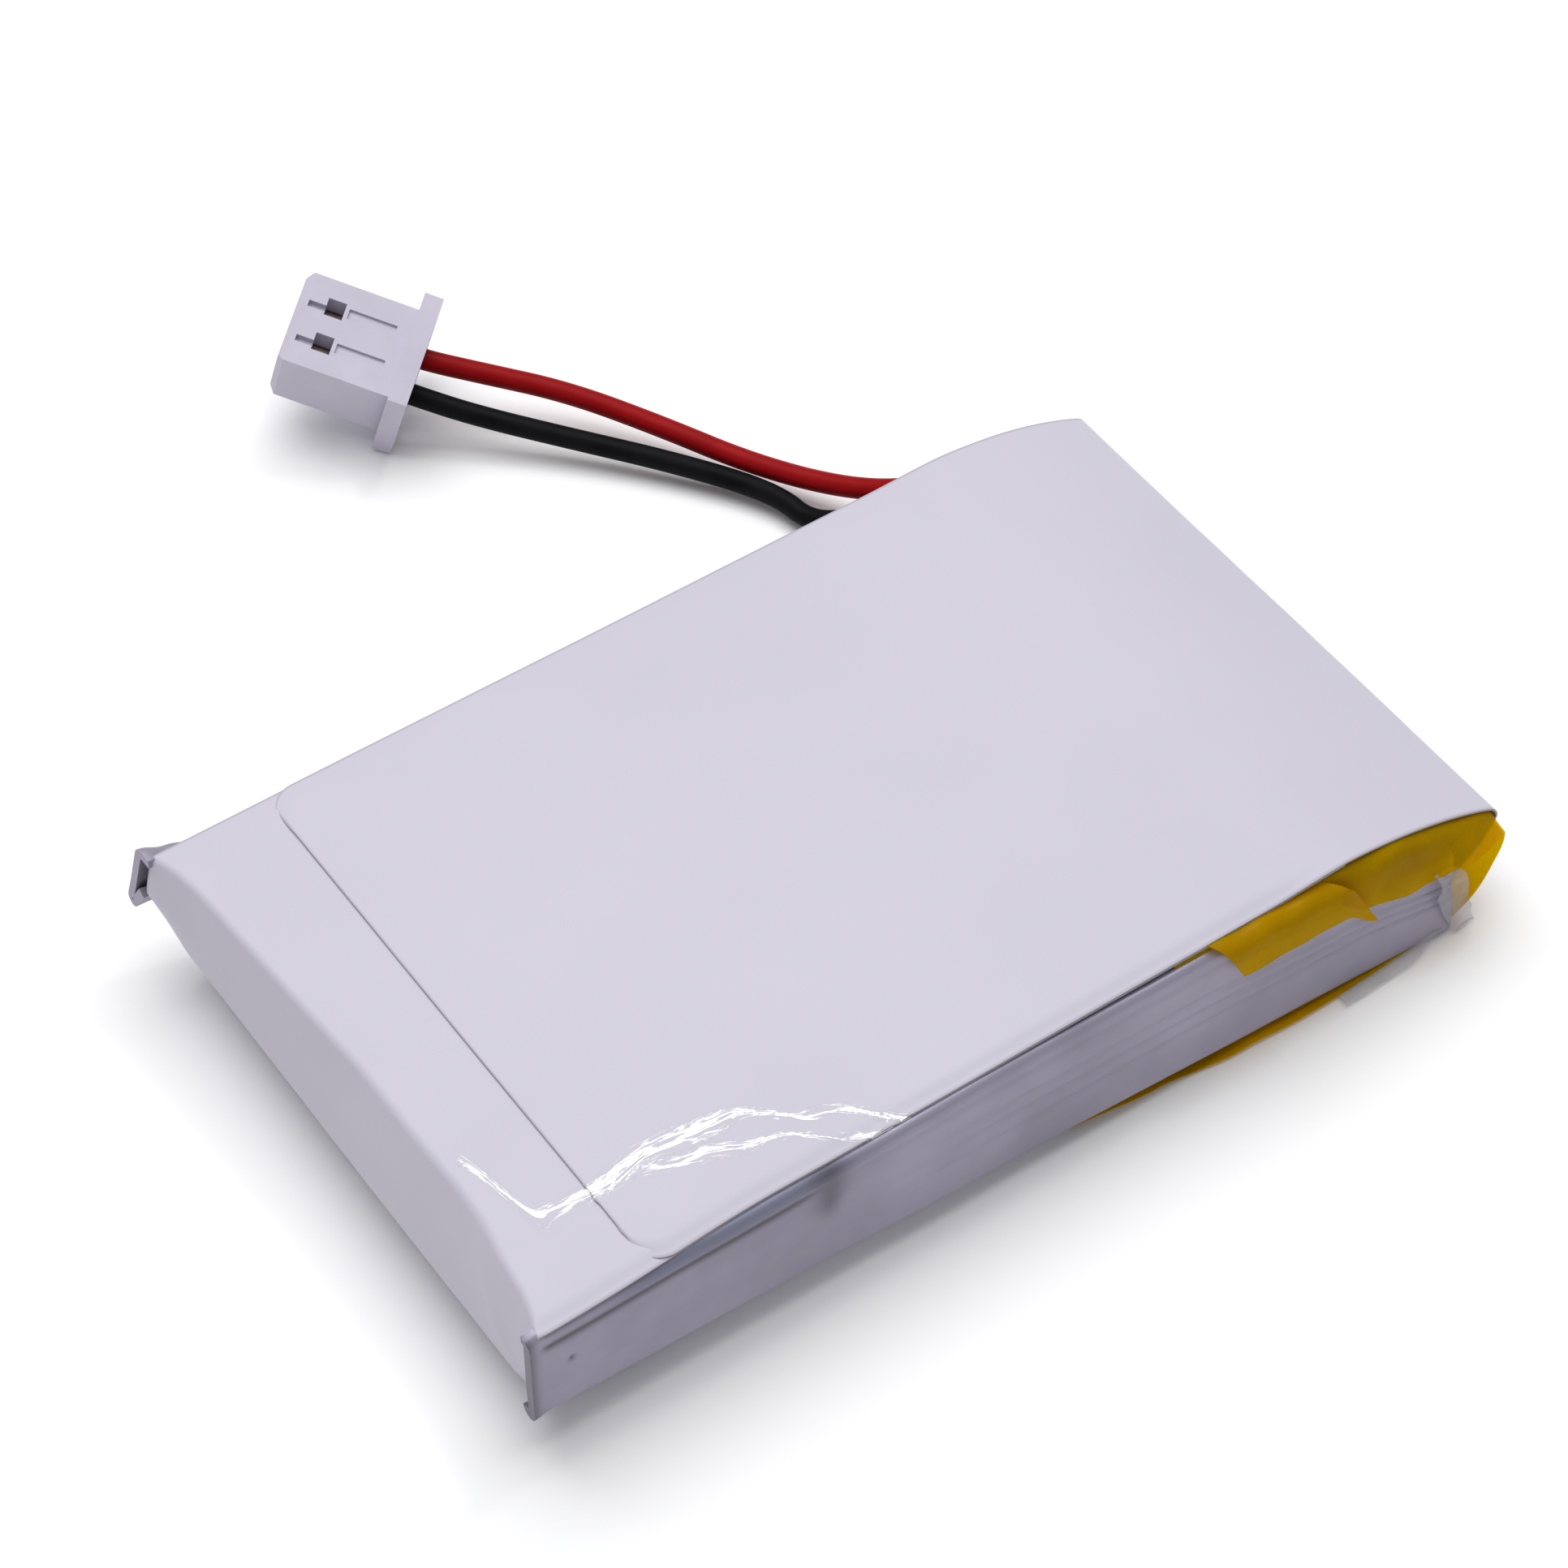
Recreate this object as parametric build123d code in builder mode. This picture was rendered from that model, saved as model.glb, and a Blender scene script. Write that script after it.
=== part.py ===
from build123d import *

import os
from math import cos, pi, radians, sin, tan

# Lithium-polymer battery pack: one pouch cell in a white wrap-round label, with a protection
# board under amber tape at the terminal end and two leads to a small white two-way plug.
#
# Frame: millimetres, +X from the folded end to the terminal end, +Y to the side the leads
# leave, +Z up.  The origin is at the centre of the pack, on the surface it rests on.

# ---------------------------------------------------------------- driving dimensions
PACK_LENGTH = 50.0            # corner ears to the nose of the amber tape
PACK_WIDTH = 30.0             # over the folded-up side seals
PACK_THICK = 8.0              # over both layers of label
FILM = 0.1                    # label film
TAPE = 0.08                   # amber and clear tape
LAMINATE = 0.15               # one ply of pouch foil
LEAD_D = 1.05                 # over the jacket
PITCH = 2.0                   # between the two contacts of the plug

# ---------------------------------------------------------------- side outline of the pack
WRAP_THICK = PACK_THICK - FILM            # the label overlaps itself on top only
FOLD_X = -PACK_LENGTH / 2 + 0.25          # the side seals stand 0.25 proud of the fold
NOSE_X = PACK_LENGTH / 2
SHOULDER_R = 0.8                          # top edge of the fold end
HEEL_R = 4.0                              # bottom edge of the fold end
FOLD_LEAN = 24.0                          # by which the fold end's face leans back
TAPER_R = 20.0                            # the top falls away towards the terminal end
TAPER_TURN = 26.0
NOSE_R = 1.0
TAPER_X = NOSE_X - TAPER_R * sin(radians(TAPER_TURN)) - NOSE_R * (1 - sin(radians(TAPER_TURN)))
BELLY_R = (WRAP_THICK - TAPER_R * (1 - cos(radians(TAPER_TURN)))
           - NOSE_R * cos(radians(TAPER_TURN)))

# ---------------------------------------------------------------- layers, outside inwards
TAPE_INSET = FILM + 0.03
POUCH_INSET = TAPE_INSET + TAPE + 0.04
LABEL_WIDTH = PACK_WIDTH - 0.8
TAPE_WIDTH = PACK_WIDTH + 1.8             # the amber tape stands out past both side seals
POUCH_WIDTH = PACK_WIDTH - 1.3

# ---------------------------------------------------------------- pouch and its seals
SEAL_Z = 3.6                              # height of the seam and of the terrace
POUCH_TOP_R, POUCH_BOTTOM_R = 0.9, 2.0
POUCH_END_X = 16.8                        # where both leaves meet at the terminal end
POUCH_BOTTOM_SLOPE, POUCH_TOP_SLOPE = 1.7, 2.6      # how far the end leans back to each face
TERRACE_END_X = 21.5
TERRACE_WIDTH = POUCH_WIDTH - 1.6
SEAL_THICK = 0.3
SEAL_EAR_Z = 2.3                          # lowest point of a side seal at the fold end
SEAL_DROP = 2.0                           # by which it sinks over SEAL_RUN
SEAL_RUN = 41.0
SEAL_FOLD_WIDTH = 0.25                    # flat bottom of the fold
SEAL_ROOT = (1.9, 2.4)                    # where its return meets the pouch, above the fold
SEAL_THROAT = 0.75                        # closed bottom of the gap behind the wall, likewise
SEAL_TOP = ((15.0, 6.7), (9.0, 7.35), (-22.0, 7.35), (-PACK_LENGTH / 2, 7.1))
NEAR_SEAL_END_X, FAR_SEAL_END_X = 22.0, 15.6
SEAL_BOTTOM_END_X = 16.0                  # from here its bottom rises to the end
SEAL_END = ((0, 0.9), (0.2, 4.6))         # bottom and top corner of its end
EAR_LENGTH = 1.0                          # stretch that leaves room for the label's fold

# ---------------------------------------------------------------- winding and tabs
TURN = 0.29                               # one drawn turn of a foil or separator
TURNS = 12
WINDING_WIDTH = POUCH_WIDTH - 2 * LAMINATE - 0.6
WINDING_THICK = 6.98
WINDING_BOTTOM = POUCH_INSET + LAMINATE + 0.06
WINDING_ROUND = 0.49                      # radius of a turn's ends over its height
WINDING_CORE = 0.1                        # a turn lower than this is left out
WINDING_TAPE, WINDING_TAPE_X = (14.0, 18.0, 0.06), 4.0
WINDING_BACK_X, WINDING_FRONT_X = -21.0, 13.6
TAB_WIDTH, TAB_THICK, TAB_Y = 4.0, 0.1, 5.5
TAB_FOLD_X, TAB_FOLD_R = 22.4, 0.4
TAB_END = 0.9                             # end of the folded-back tab, from the board's middle
TAB_FILM_WIDTH, TAB_FILM_THICK, TAB_FILM_REACH = 6.0, 0.2, 0.5
TAB_SLOT = 12.0                           # length kept free round each tab in the seal

# ---------------------------------------------------------------- protection board
BOARD_SIZE, BOARD_CORNER_R = (4.0, 25.6, 0.6), 0.3
BOARD_X = 19.3
PAD_THICK, PAD_MARGIN = 0.15, 0.3
BOARD_BOTTOM = SEAL_Z + SEAL_THICK / 2 + 0.05 + PAD_THICK
BOARD_TOP = BOARD_BOTTOM + BOARD_SIZE[2]
CHIP_STANDOFF, CHIP_BEVEL = 0.05, 0.1
CHIP_LEG = (0.5, 0.32, 0.4)
CHIP_LEG_REACH = 0.3                      # both rows together, past the body
PROTECTION_CHIP = ((1.5, 2.9, 1.0), BOARD_X - 0.4, 0.0, 3)        # size, x, y, legs a side
SWITCH_TRANSISTORS = ((2.2, 3.0, 0.9), BOARD_X - 0.3, -11.0, 4)
SMALL_PARTS = {                           # size, then places from the board's middle
    "chip_resistors": ((0.5, 1.0, 0.35), ((-0.9, 2.6), (-0.9, 8.4), (0.4, -2.6))),
    "chip_capacitors": ((0.8, 1.6, 0.75), ((-0.6, -3.6), (-0.9, 5.4))),
}
LEAD_START_Y = 11.2
LEAD_SOLDER = (0.8, 1.7, 0.9)
TAB_SOLDER = (0.7, 3.0, 0.2)
TAB_SOLDER_X = BOARD_X + 1.35

# ---------------------------------------------------------------- plug
BODY = (5.55, 5.05, 3.5)                  # length, width, thickness ahead of the flange
FLANGE = (0.95, 6.2, 5.0)
PLUG_YAW, PLUG_PITCH, PLUG_ROLL = 134.0, 17.0, 14.0
PLUG_XY = (1.5, 37.85)                    # centre of the flange's front face, seen from above
BODY_BEVEL = 0.3
CAVITY = 1.2                              # square hole for a post of the mating header
LEAD_GRIP = 1.25                          # length of jacket inside the flange
# Openings over each contact: place along the body, sideways shift, then length, width, depth.
WINDOW = (3.75, 0, (0.9, 0.95, BODY[2] / 2))
FRONT_SLOT = (4.6, 0.15, (0.9, 0.35, 0.3))
REAR_GROOVE = (1.9, 0, (2.4, 0.55, 0.15))
CONTACT_BOX, CONTACT_BORE = 1.0, 0.66
CONTACT_START, CONTACT_END = 1.6, 4.7     # ends of the box, from the flange's front face
CRIMP = (1.3, 0.7, 0.8)
CRIMP_DROP = 0.1
CONTACT_LANCE = (0.6, 0.4, 0.2)
CONTACT_LANCE_Z = 0.6

# ---------------------------------------------------------------- tapes and label
CAP_TOP_X, CAP_BOTTOM_X = 7.0, 2.0        # ends of the amber cap on top and underneath
HOLD_DOWN = ((9.4, 7.2), (10.3, 5.9), (13.6, 5.7), (16.4, 5.9), (21.0, 4.6), (21.2, 6.0),
             (14.5, 7.2))
SEAL_END_WRAP = ((19.6, 3.2), (20.1, 1.2), (23.1, 1.6), (22.9, 4.4), (20.6, 4.7))
HOLD_DOWN_GAP, SEAL_END_GAP = 0.02, 0.14  # from the side seal
UNDERSIDE_TAPE = (3.4, 2.7, 0.04)
UNDERSIDE_TAPE_PLACE = (18.0, -PACK_WIDTH / 2 + 0.55, TAPE_INSET + TAPE + 0.04)
OVERLAP_X = -PACK_LENGTH / 2 + 5.8        # edge of the label's upper layer
OVERLAP_CORNER_R = 1.3

MARGIN = 1.0                              # by which cutting shapes reach past the pack

os.makedirs("parts", exist_ok=True)


def save(name, part):
    """Label a finished piece and write it to its own file."""
    part.label = name
    export_step(part, f"parts/{name}.step")


def side_outline(inset=0.0):
    """Side view: rounded heel and leaning face at -X, top falling to a small nose at +X."""
    lean = radians(FOLD_LEAN)
    with BuildSketch(Plane.XZ) as outline:
        with BuildLine():
            heel = JernArc((FOLD_X + HEEL_R, 0), (-1, 0), HEEL_R, -90 - FOLD_LEAN)
            # The face runs straight up to where the shoulder's arc can end level with the top.
            shoulder_z = WRAP_THICK - SHOULDER_R * (1 - sin(lean))
            back = Line(heel @ 1, heel @ 1 + heel % 1 * ((shoulder_z - (heel @ 1).Y) / cos(lean)))
            shoulder = JernArc(back @ 1, back % 1, SHOULDER_R, FOLD_LEAN - 90)
            top = Line(shoulder @ 1, (TAPER_X, WRAP_THICK))
            fall = JernArc(top @ 1, top % 1, TAPER_R, -TAPER_TURN)
            nose = JernArc(fall @ 1, fall % 1, NOSE_R, TAPER_TURN - 90)
            belly = JernArc(nose @ 1, nose % 1, BELLY_R, -90)
            Line(belly @ 1, heel @ 0)
        make_face()
        if inset:
            offset(amount=-inset)
    return outline.sketch


def film_loop(inset, thick):
    """Closed strip of film that lies `inset` inside the pack's side outline."""
    with BuildSketch(Plane.XZ) as strip:
        add(side_outline(inset))
        add(side_outline(inset + thick), mode=Mode.SUBTRACT)
    return strip.sketch


# ================================================================ pouch
def pouch_body(inset):
    """Outer or inner shape of the pouch: its side outline met by its end outline."""
    low = POUCH_INSET + inset
    high = WRAP_THICK - POUCH_INSET - inset
    half = POUCH_WIDTH / 2 - inset
    with BuildPart() as body:
        with BuildSketch(Plane.XZ):
            add(side_outline(POUCH_INSET + inset))
            with BuildLine():
                end_x = POUCH_END_X - inset
                Polyline((-PACK_LENGTH, -MARGIN), (end_x - POUCH_BOTTOM_SLOPE, -MARGIN),
                         (end_x, SEAL_Z), (end_x - POUCH_TOP_SLOPE, WRAP_THICK + MARGIN),
                         (-PACK_LENGTH, WRAP_THICK + MARGIN), close=True)
            make_face(mode=Mode.INTERSECT)
        extrude(amount=half, both=True)
        with BuildSketch(Plane.YZ.offset(-PACK_LENGTH)) as end:
            with BuildLine():
                Polyline((-half, low), (half, low), (half, high), (-half, high), close=True)
            make_face()
            fillet(end.vertices().group_by(Axis.Y)[0], POUCH_BOTTOM_R - inset)
            fillet(end.vertices().group_by(Axis.Y)[-1], POUCH_TOP_R - inset)
        extrude(amount=2 * PACK_LENGTH, mode=Mode.INTERSECT)
    return body.part


def tab_corridor():
    """Space that both tabs and their sealing films take through the terminal seal."""
    with BuildPart() as corridor:
        with Locations((POUCH_END_X, -TAB_Y, SEAL_Z), (POUCH_END_X, TAB_Y, SEAL_Z)):
            Box(TAB_SLOT, TAB_FILM_WIDTH, TAB_FILM_THICK)
    return corridor.part


with BuildPart() as pouch_upper_leaf:
    add(pouch_body(0))
    add(pouch_body(LAMINATE), mode=Mode.SUBTRACT)
    add(tab_corridor(), mode=Mode.SUBTRACT)
    split(bisect_by=Plane.XY.offset(SEAL_Z), keep=Keep.TOP)
save("pouch_upper_leaf", pouch_upper_leaf.part)

with BuildPart() as pouch_lower_leaf:
    add(pouch_body(0))
    add(pouch_body(LAMINATE), mode=Mode.SUBTRACT)
    add(tab_corridor(), mode=Mode.SUBTRACT)
    split(bisect_by=Plane.XY.offset(SEAL_Z), keep=Keep.BOTTOM)
save("pouch_lower_leaf", pouch_lower_leaf.part)

with BuildPart() as terminal_seal:
    length = TERRACE_END_X - POUCH_END_X
    with Locations((POUCH_END_X + length / 2, 0, SEAL_Z)):
        Box(length, TERRACE_WIDTH, SEAL_THICK)
    add(tab_corridor(), mode=Mode.SUBTRACT)
save("terminal_seal", terminal_seal.part)


def side_seal(end_x):
    """Sealed edge folded up against the near (-Y) side: a hook-shaped strip that sinks
    a little towards the terminal end, trimmed to its outline seen from the side."""
    outer = -PACK_WIDTH / 2
    inner = outer + SEAL_THICK
    root = -POUCH_WIDTH / 2
    low, high = SEAL_EAR_Z, SEAL_EAR_Z + PACK_THICK + MARGIN
    with BuildPart() as seal:
        with BuildSketch(Plane.YZ.offset(-PACK_LENGTH / 2)):
            with BuildLine():
                Polyline((outer, low), (outer + SEAL_FOLD_WIDTH, low), (root, low + SEAL_ROOT[0]),
                         (root, low + SEAL_ROOT[1]), (inner, low + SEAL_THROAT), (inner, high),
                         (outer, high), close=True)
            make_face()
        extrude(amount=PACK_LENGTH, dir=(SEAL_RUN, 0, -SEAL_DROP))
        with BuildSketch(Plane.XZ):
            with BuildLine():
                Polyline((-PACK_LENGTH / 2, 0), (SEAL_BOTTOM_END_X, 0),
                         *[(end_x + x, z) for x, z in SEAL_END], *SEAL_TOP, close=True)
            make_face()
        extrude(amount=PACK_WIDTH, both=True, mode=Mode.INTERSECT)
        # Room for the label where it goes round the fold.
        with Locations((-PACK_LENGTH / 2, 0, 0)):
            Box(EAR_LENGTH, LABEL_WIDTH + 0.06, 2 * PACK_THICK, mode=Mode.SUBTRACT)
    return seal.part


with BuildPart() as near_side_seal:
    add(side_seal(NEAR_SEAL_END_X))
save("near_side_seal", near_side_seal.part)

with BuildPart() as far_side_seal:
    add(mirror(side_seal(FAR_SEAL_END_X), about=Plane.XZ))
save("far_side_seal", far_side_seal.part)


# ================================================================ winding
def winding_turns(chosen):
    """The chosen turns of the flat winding, counted from the outside: rounded rings."""
    with BuildPart() as turns:
        with BuildSketch(Plane.YZ.offset(WINDING_BACK_X)):
            with Locations((0, WINDING_BOTTOM + WINDING_THICK / 2)):
                for turn in chosen:
                    for edge, mode in ((turn, Mode.ADD), (turn + 1, Mode.SUBTRACT)):
                        width = WINDING_WIDTH - 2 * TURN * edge
                        height = WINDING_THICK - 2 * TURN * edge
                        if height > WINDING_CORE:
                            RectangleRounded(width, height, WINDING_ROUND * height, mode=mode)
        extrude(amount=WINDING_FRONT_X - WINDING_BACK_X)
    return turns.part


for foil, chosen in (("separator", range(0, TURNS, 2)), ("anode_foil", range(1, TURNS, 4)),
                     ("cathode_foil", range(3, TURNS, 4))):
    with BuildPart() as turns:
        add(winding_turns(chosen))
    save(foil, turns.part)

with BuildPart() as winding_tape:
    with Locations((WINDING_TAPE_X, 0, WINDING_BOTTOM + WINDING_THICK + WINDING_TAPE[2] / 2)):
        Box(*WINDING_TAPE)
save("winding_tape", winding_tape.part)


# ================================================================ tabs
def tab(y):
    """Tab strip: straight out through the seal, then folded up and back over the board."""
    with BuildPart() as strip:
        with BuildSketch(Plane.XZ.offset(-y)):
            with BuildLine():
                FilletPolyline((WINDING_FRONT_X, SEAL_Z), (TAB_FOLD_X, SEAL_Z),
                               (TAB_FOLD_X, BOARD_TOP + TAB_THICK / 2),
                               (BOARD_X + TAB_END, BOARD_TOP + TAB_THICK / 2), radius=TAB_FOLD_R)
            trace(line_width=TAB_THICK)
        extrude(amount=TAB_WIDTH / 2, both=True)
    return strip.part


def tab_film(y):
    """Sleeve of sealing film round a tab where it passes through the seal."""
    length = TERRACE_END_X + TAB_FILM_REACH - POUCH_END_X
    with BuildPart() as film:
        with Locations((POUCH_END_X + length / 2, y, SEAL_Z)):
            Box(length, TAB_FILM_WIDTH, TAB_FILM_THICK)
            Box(length, TAB_WIDTH, TAB_THICK, mode=Mode.SUBTRACT)
    return film.part


for pole, y in (("positive", TAB_Y), ("negative", -TAB_Y)):
    with BuildPart() as strip:
        add(tab(y))
    save(f"{pole}_tab", strip.part)
    with BuildPart() as film:
        add(tab_film(y))
    save(f"{pole}_tab_film", film.part)

# ================================================================ protection board
with BuildPart() as board_pad:
    with Locations((BOARD_X, 0, BOARD_BOTTOM - PAD_THICK / 2)):
        Box(BOARD_SIZE[0], BOARD_SIZE[1] - 2 * PAD_MARGIN, PAD_THICK)
save("board_pad", board_pad.part)

with BuildPart() as protection_board:
    with Locations((BOARD_X, 0, BOARD_BOTTOM + BOARD_SIZE[2] / 2)):
        Box(*BOARD_SIZE)
    fillet(protection_board.edges().filter_by(Axis.Z), BOARD_CORNER_R)
save("protection_board", protection_board.part)


def chip(size, x, y, legs):
    """Moulded chip on the board, with that many short legs in a row on each side."""
    length, width, height = size
    with BuildPart(Plane((x, y, BOARD_TOP))) as body:
        with Locations((0, 0, height / 2 + CHIP_STANDOFF)):
            Box(length, width, height - 2 * CHIP_STANDOFF)
        chamfer(body.faces().sort_by(Axis.Z)[-1].edges(), CHIP_BEVEL)
        with GridLocations(length + CHIP_LEG_REACH, width / (legs + 0.5), 2, legs):
            with Locations((0, 0, CHIP_LEG[2] / 2)):
                Box(*CHIP_LEG)
    return body.part


with BuildPart() as protection_chip:
    add(chip(*PROTECTION_CHIP))
save("protection_chip", protection_chip.part)

with BuildPart() as switch_transistors:
    add(chip(*SWITCH_TRANSISTORS))
save("switch_transistors", switch_transistors.part)

for kind, (size, places) in SMALL_PARTS.items():
    with BuildPart() as group:
        for x, y in places:
            with Locations((BOARD_X + x, y, BOARD_TOP + size[2] / 2)):
                Box(*size)
    save(kind, group.part)

# ================================================================ leads
LEAD_Z = BOARD_TOP + 0.08 + LEAD_D / 2
LEAD_X = {"positive": 20.1, "negative": 18.45}

yaw, pitch, roll = radians(PLUG_YAW), radians(PLUG_PITCH), radians(PLUG_ROLL)
plug_axis = Vector(cos(yaw) * cos(pitch), sin(yaw) * cos(pitch), sin(pitch))
plug_side = Vector(-sin(yaw), cos(yaw), 0)
plug_up = plug_axis.cross(plug_side) * cos(roll) + plug_side * sin(roll)
plug_width = plug_up.cross(plug_axis)
# The plug rests on one rear corner of its flange.
plug_height = (FLANGE[1] / 2 * abs(plug_width.Z) + FLANGE[2] / 2 * plug_up.Z
               + FLANGE[0] * plug_axis.Z)
plug_plane = Plane(origin=(*PLUG_XY, plug_height), x_dir=plug_axis, z_dir=plug_up)


def plug_point(x, y, z=0.0):
    """A point given along the plug's own axes."""
    return plug_plane.from_local_coords(Vector(x, y, z))


def lead_entry(side):
    """Where a lead enters the flange, and where its jacket ends inside."""
    y = -side * PITCH / 2
    return plug_point(-FLANGE[0], y), plug_point(LEAD_GRIP - FLANGE[0], y)


# Each lead runs off the end of the board, dips behind the pack and rises to the plug.
ROUTES = {
    "positive": [(LEAD_X["positive"], LEAD_START_Y, LEAD_Z), (LEAD_X["positive"], 13.6, LEAD_Z),
                 (19.1, 16.15, 4.05), (17.3, 17.9, 2.5), (15.35, 20.7, 1.5), (13.0, 24.7, 1.15),
                 (10.6, 29.2, 1.5), (8.0, 33.1, 2.05), (4.95, 36.05, 2.68), *lead_entry(1)],
    "negative": [(LEAD_X["negative"], LEAD_START_Y, LEAD_Z), (LEAD_X["negative"], 13.6, LEAD_Z),
                 (17.25, 16.25, 3.85), (15.25, 18.0, 2.05), (13.35, 20.05, 0.7),
                 (12.95, 22.75, 0.9), (10.05, 27.05, 1.05), (6.7, 31.1, 1.3), (3.5, 34.4, 1.98),
                 *lead_entry(-1)],
}


def corner_radii(points):
    """Radius at each inner point: 0.45 of its shorter run over the tangent of half the turn."""
    radii = []
    for before, here, after in zip(points, points[1:], points[2:]):
        run_in, run_out = here - before, after - here
        half_turn = radians(run_in.get_angle(run_out)) / 2
        radii.append(0.45 * min(run_in.length, run_out.length) / tan(half_turn))
    return radii


for pole, route in ROUTES.items():
    points = [Vector(*point) for point in route]
    # The last run goes straight on into the plug, so its point at the flange is left out.
    points.pop(-2)
    radii = corner_radii(points)
    print(pole, "lead: smallest radius", round(min(radii), 1), "of", [round(r, 1) for r in radii])
    with BuildLine() as path:
        FilletPolyline(*points, radius=radii)
    with BuildPart() as lead:
        with BuildSketch(Plane(points[0], z_dir=points[1] - points[0])):
            Circle(LEAD_D / 2)
        sweep(path=path.wires()[0])
    length = path.wires()[0].length
    print("  length", round(length, 2), "volume over section times length",
          round(lead.part.volume / (pi * LEAD_D ** 2 / 4 * length), 4))
    save(f"{pole}_lead", lead.part)

with BuildPart() as solder_joints:
    for x in LEAD_X.values():
        with Locations((x, LEAD_START_Y - LEAD_SOLDER[1] / 2, BOARD_TOP + LEAD_SOLDER[2] / 2)):
            Box(*LEAD_SOLDER)
    for y in (TAB_Y, -TAB_Y):
        with Locations((TAB_SOLDER_X, y, BOARD_TOP + TAB_THICK + TAB_SOLDER[2] / 2)):
            Box(*TAB_SOLDER)
save("solder_joints", solder_joints.part)

# ================================================================ plug
CAVITY_LENGTH = BODY[0] + FLANGE[0]

with BuildPart(plug_plane) as plug_housing:
    with Locations((BODY[0] / 2, 0, 0)):
        Box(*BODY)
    chamfer(plug_housing.faces().sort_by(Axis((0, 0, 0), plug_axis))[-1].edges(), BODY_BEVEL)
    with Locations((-FLANGE[0] / 2, 0, 0)):
        Box(*FLANGE)
    for y in (-PITCH / 2, PITCH / 2):
        with Locations((BODY[0] / 2 - FLANGE[0] / 2, y, 0)):
            Box(CAVITY_LENGTH, CAVITY, CAVITY, mode=Mode.SUBTRACT)
        for x, shift, (length, width, depth) in (WINDOW, FRONT_SLOT, REAR_GROOVE):
            with Locations((x, y + shift, BODY[2] / 2)):
                Box(length, width, 2 * depth, mode=Mode.SUBTRACT)
save("plug_housing", plug_housing.part)


def contact(y):
    """Crimped contact: square box for the post, neck, and barrel closed on the lead's end."""
    with BuildPart(plug_plane) as piece:
        with Locations(((CONTACT_START + CONTACT_END) / 2, y, 0)):
            Box(CONTACT_END - CONTACT_START, CONTACT_BOX, CONTACT_BOX)
            Box(CONTACT_END - CONTACT_START, CONTACT_BORE, CONTACT_BORE, mode=Mode.SUBTRACT)
        with Locations((CONTACT_START - CRIMP[0] / 2, y, -CRIMP_DROP)):
            Box(*CRIMP)
        with Locations((WINDOW[0], y, CONTACT_LANCE_Z)):
            Box(*CONTACT_LANCE)
    return piece.part


for pole, side in (("positive", 1), ("negative", -1)):
    with BuildPart() as piece:
        add(contact(-side * PITCH / 2))
    save(f"{pole}_contact", piece.part)

# ================================================================ tapes
with BuildPart() as terminal_cap_tape:
    with BuildSketch(Plane.XZ):
        add(film_loop(TAPE_INSET, TAPE))
        with BuildLine():
            Polyline((-PACK_LENGTH, -MARGIN), (CAP_BOTTOM_X, -MARGIN),
                     (CAP_BOTTOM_X, WRAP_THICK / 2), (CAP_TOP_X, WRAP_THICK / 2),
                     (CAP_TOP_X, WRAP_THICK + MARGIN), (-PACK_LENGTH, WRAP_THICK + MARGIN),
                     close=True)
        make_face(mode=Mode.SUBTRACT)
    extrude(amount=TAPE_WIDTH / 2, both=True)
save("terminal_cap_tape", terminal_cap_tape.part)


def side_strip(name, distance, corners):
    """Flat strip of tape on the near side, a little way out from the side seal."""
    with BuildPart() as strip:
        with BuildSketch(Plane.XZ.offset(PACK_WIDTH / 2 + distance)):
            with BuildLine():
                Polyline(*corners, close=True)
            make_face()
        extrude(amount=TAPE)
    save(name, strip.part)


side_strip("hold_down_tape", HOLD_DOWN_GAP, HOLD_DOWN)
side_strip("seal_end_tape", SEAL_END_GAP, SEAL_END_WRAP)

with BuildPart() as underside_tape:
    with Locations(UNDERSIDE_TAPE_PLACE):
        Box(*UNDERSIDE_TAPE)
save("underside_tape", underside_tape.part)

# ================================================================ label
with BuildPart() as label_film:
    with BuildSketch(Plane.XZ):
        add(film_loop(0, FILM))
    extrude(amount=LABEL_WIDTH / 2, both=True)
    with BuildSketch(Plane.XY.offset(WRAP_THICK)):
        with Locations(((OVERLAP_X + TAPER_X) / 2, 0)):
            RectangleRounded(TAPER_X - OVERLAP_X, LABEL_WIDTH, OVERLAP_CORNER_R)
    extrude(amount=FILM)
save("label_film", label_film.part)
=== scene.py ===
from math import cos, pi, radians, sin

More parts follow.
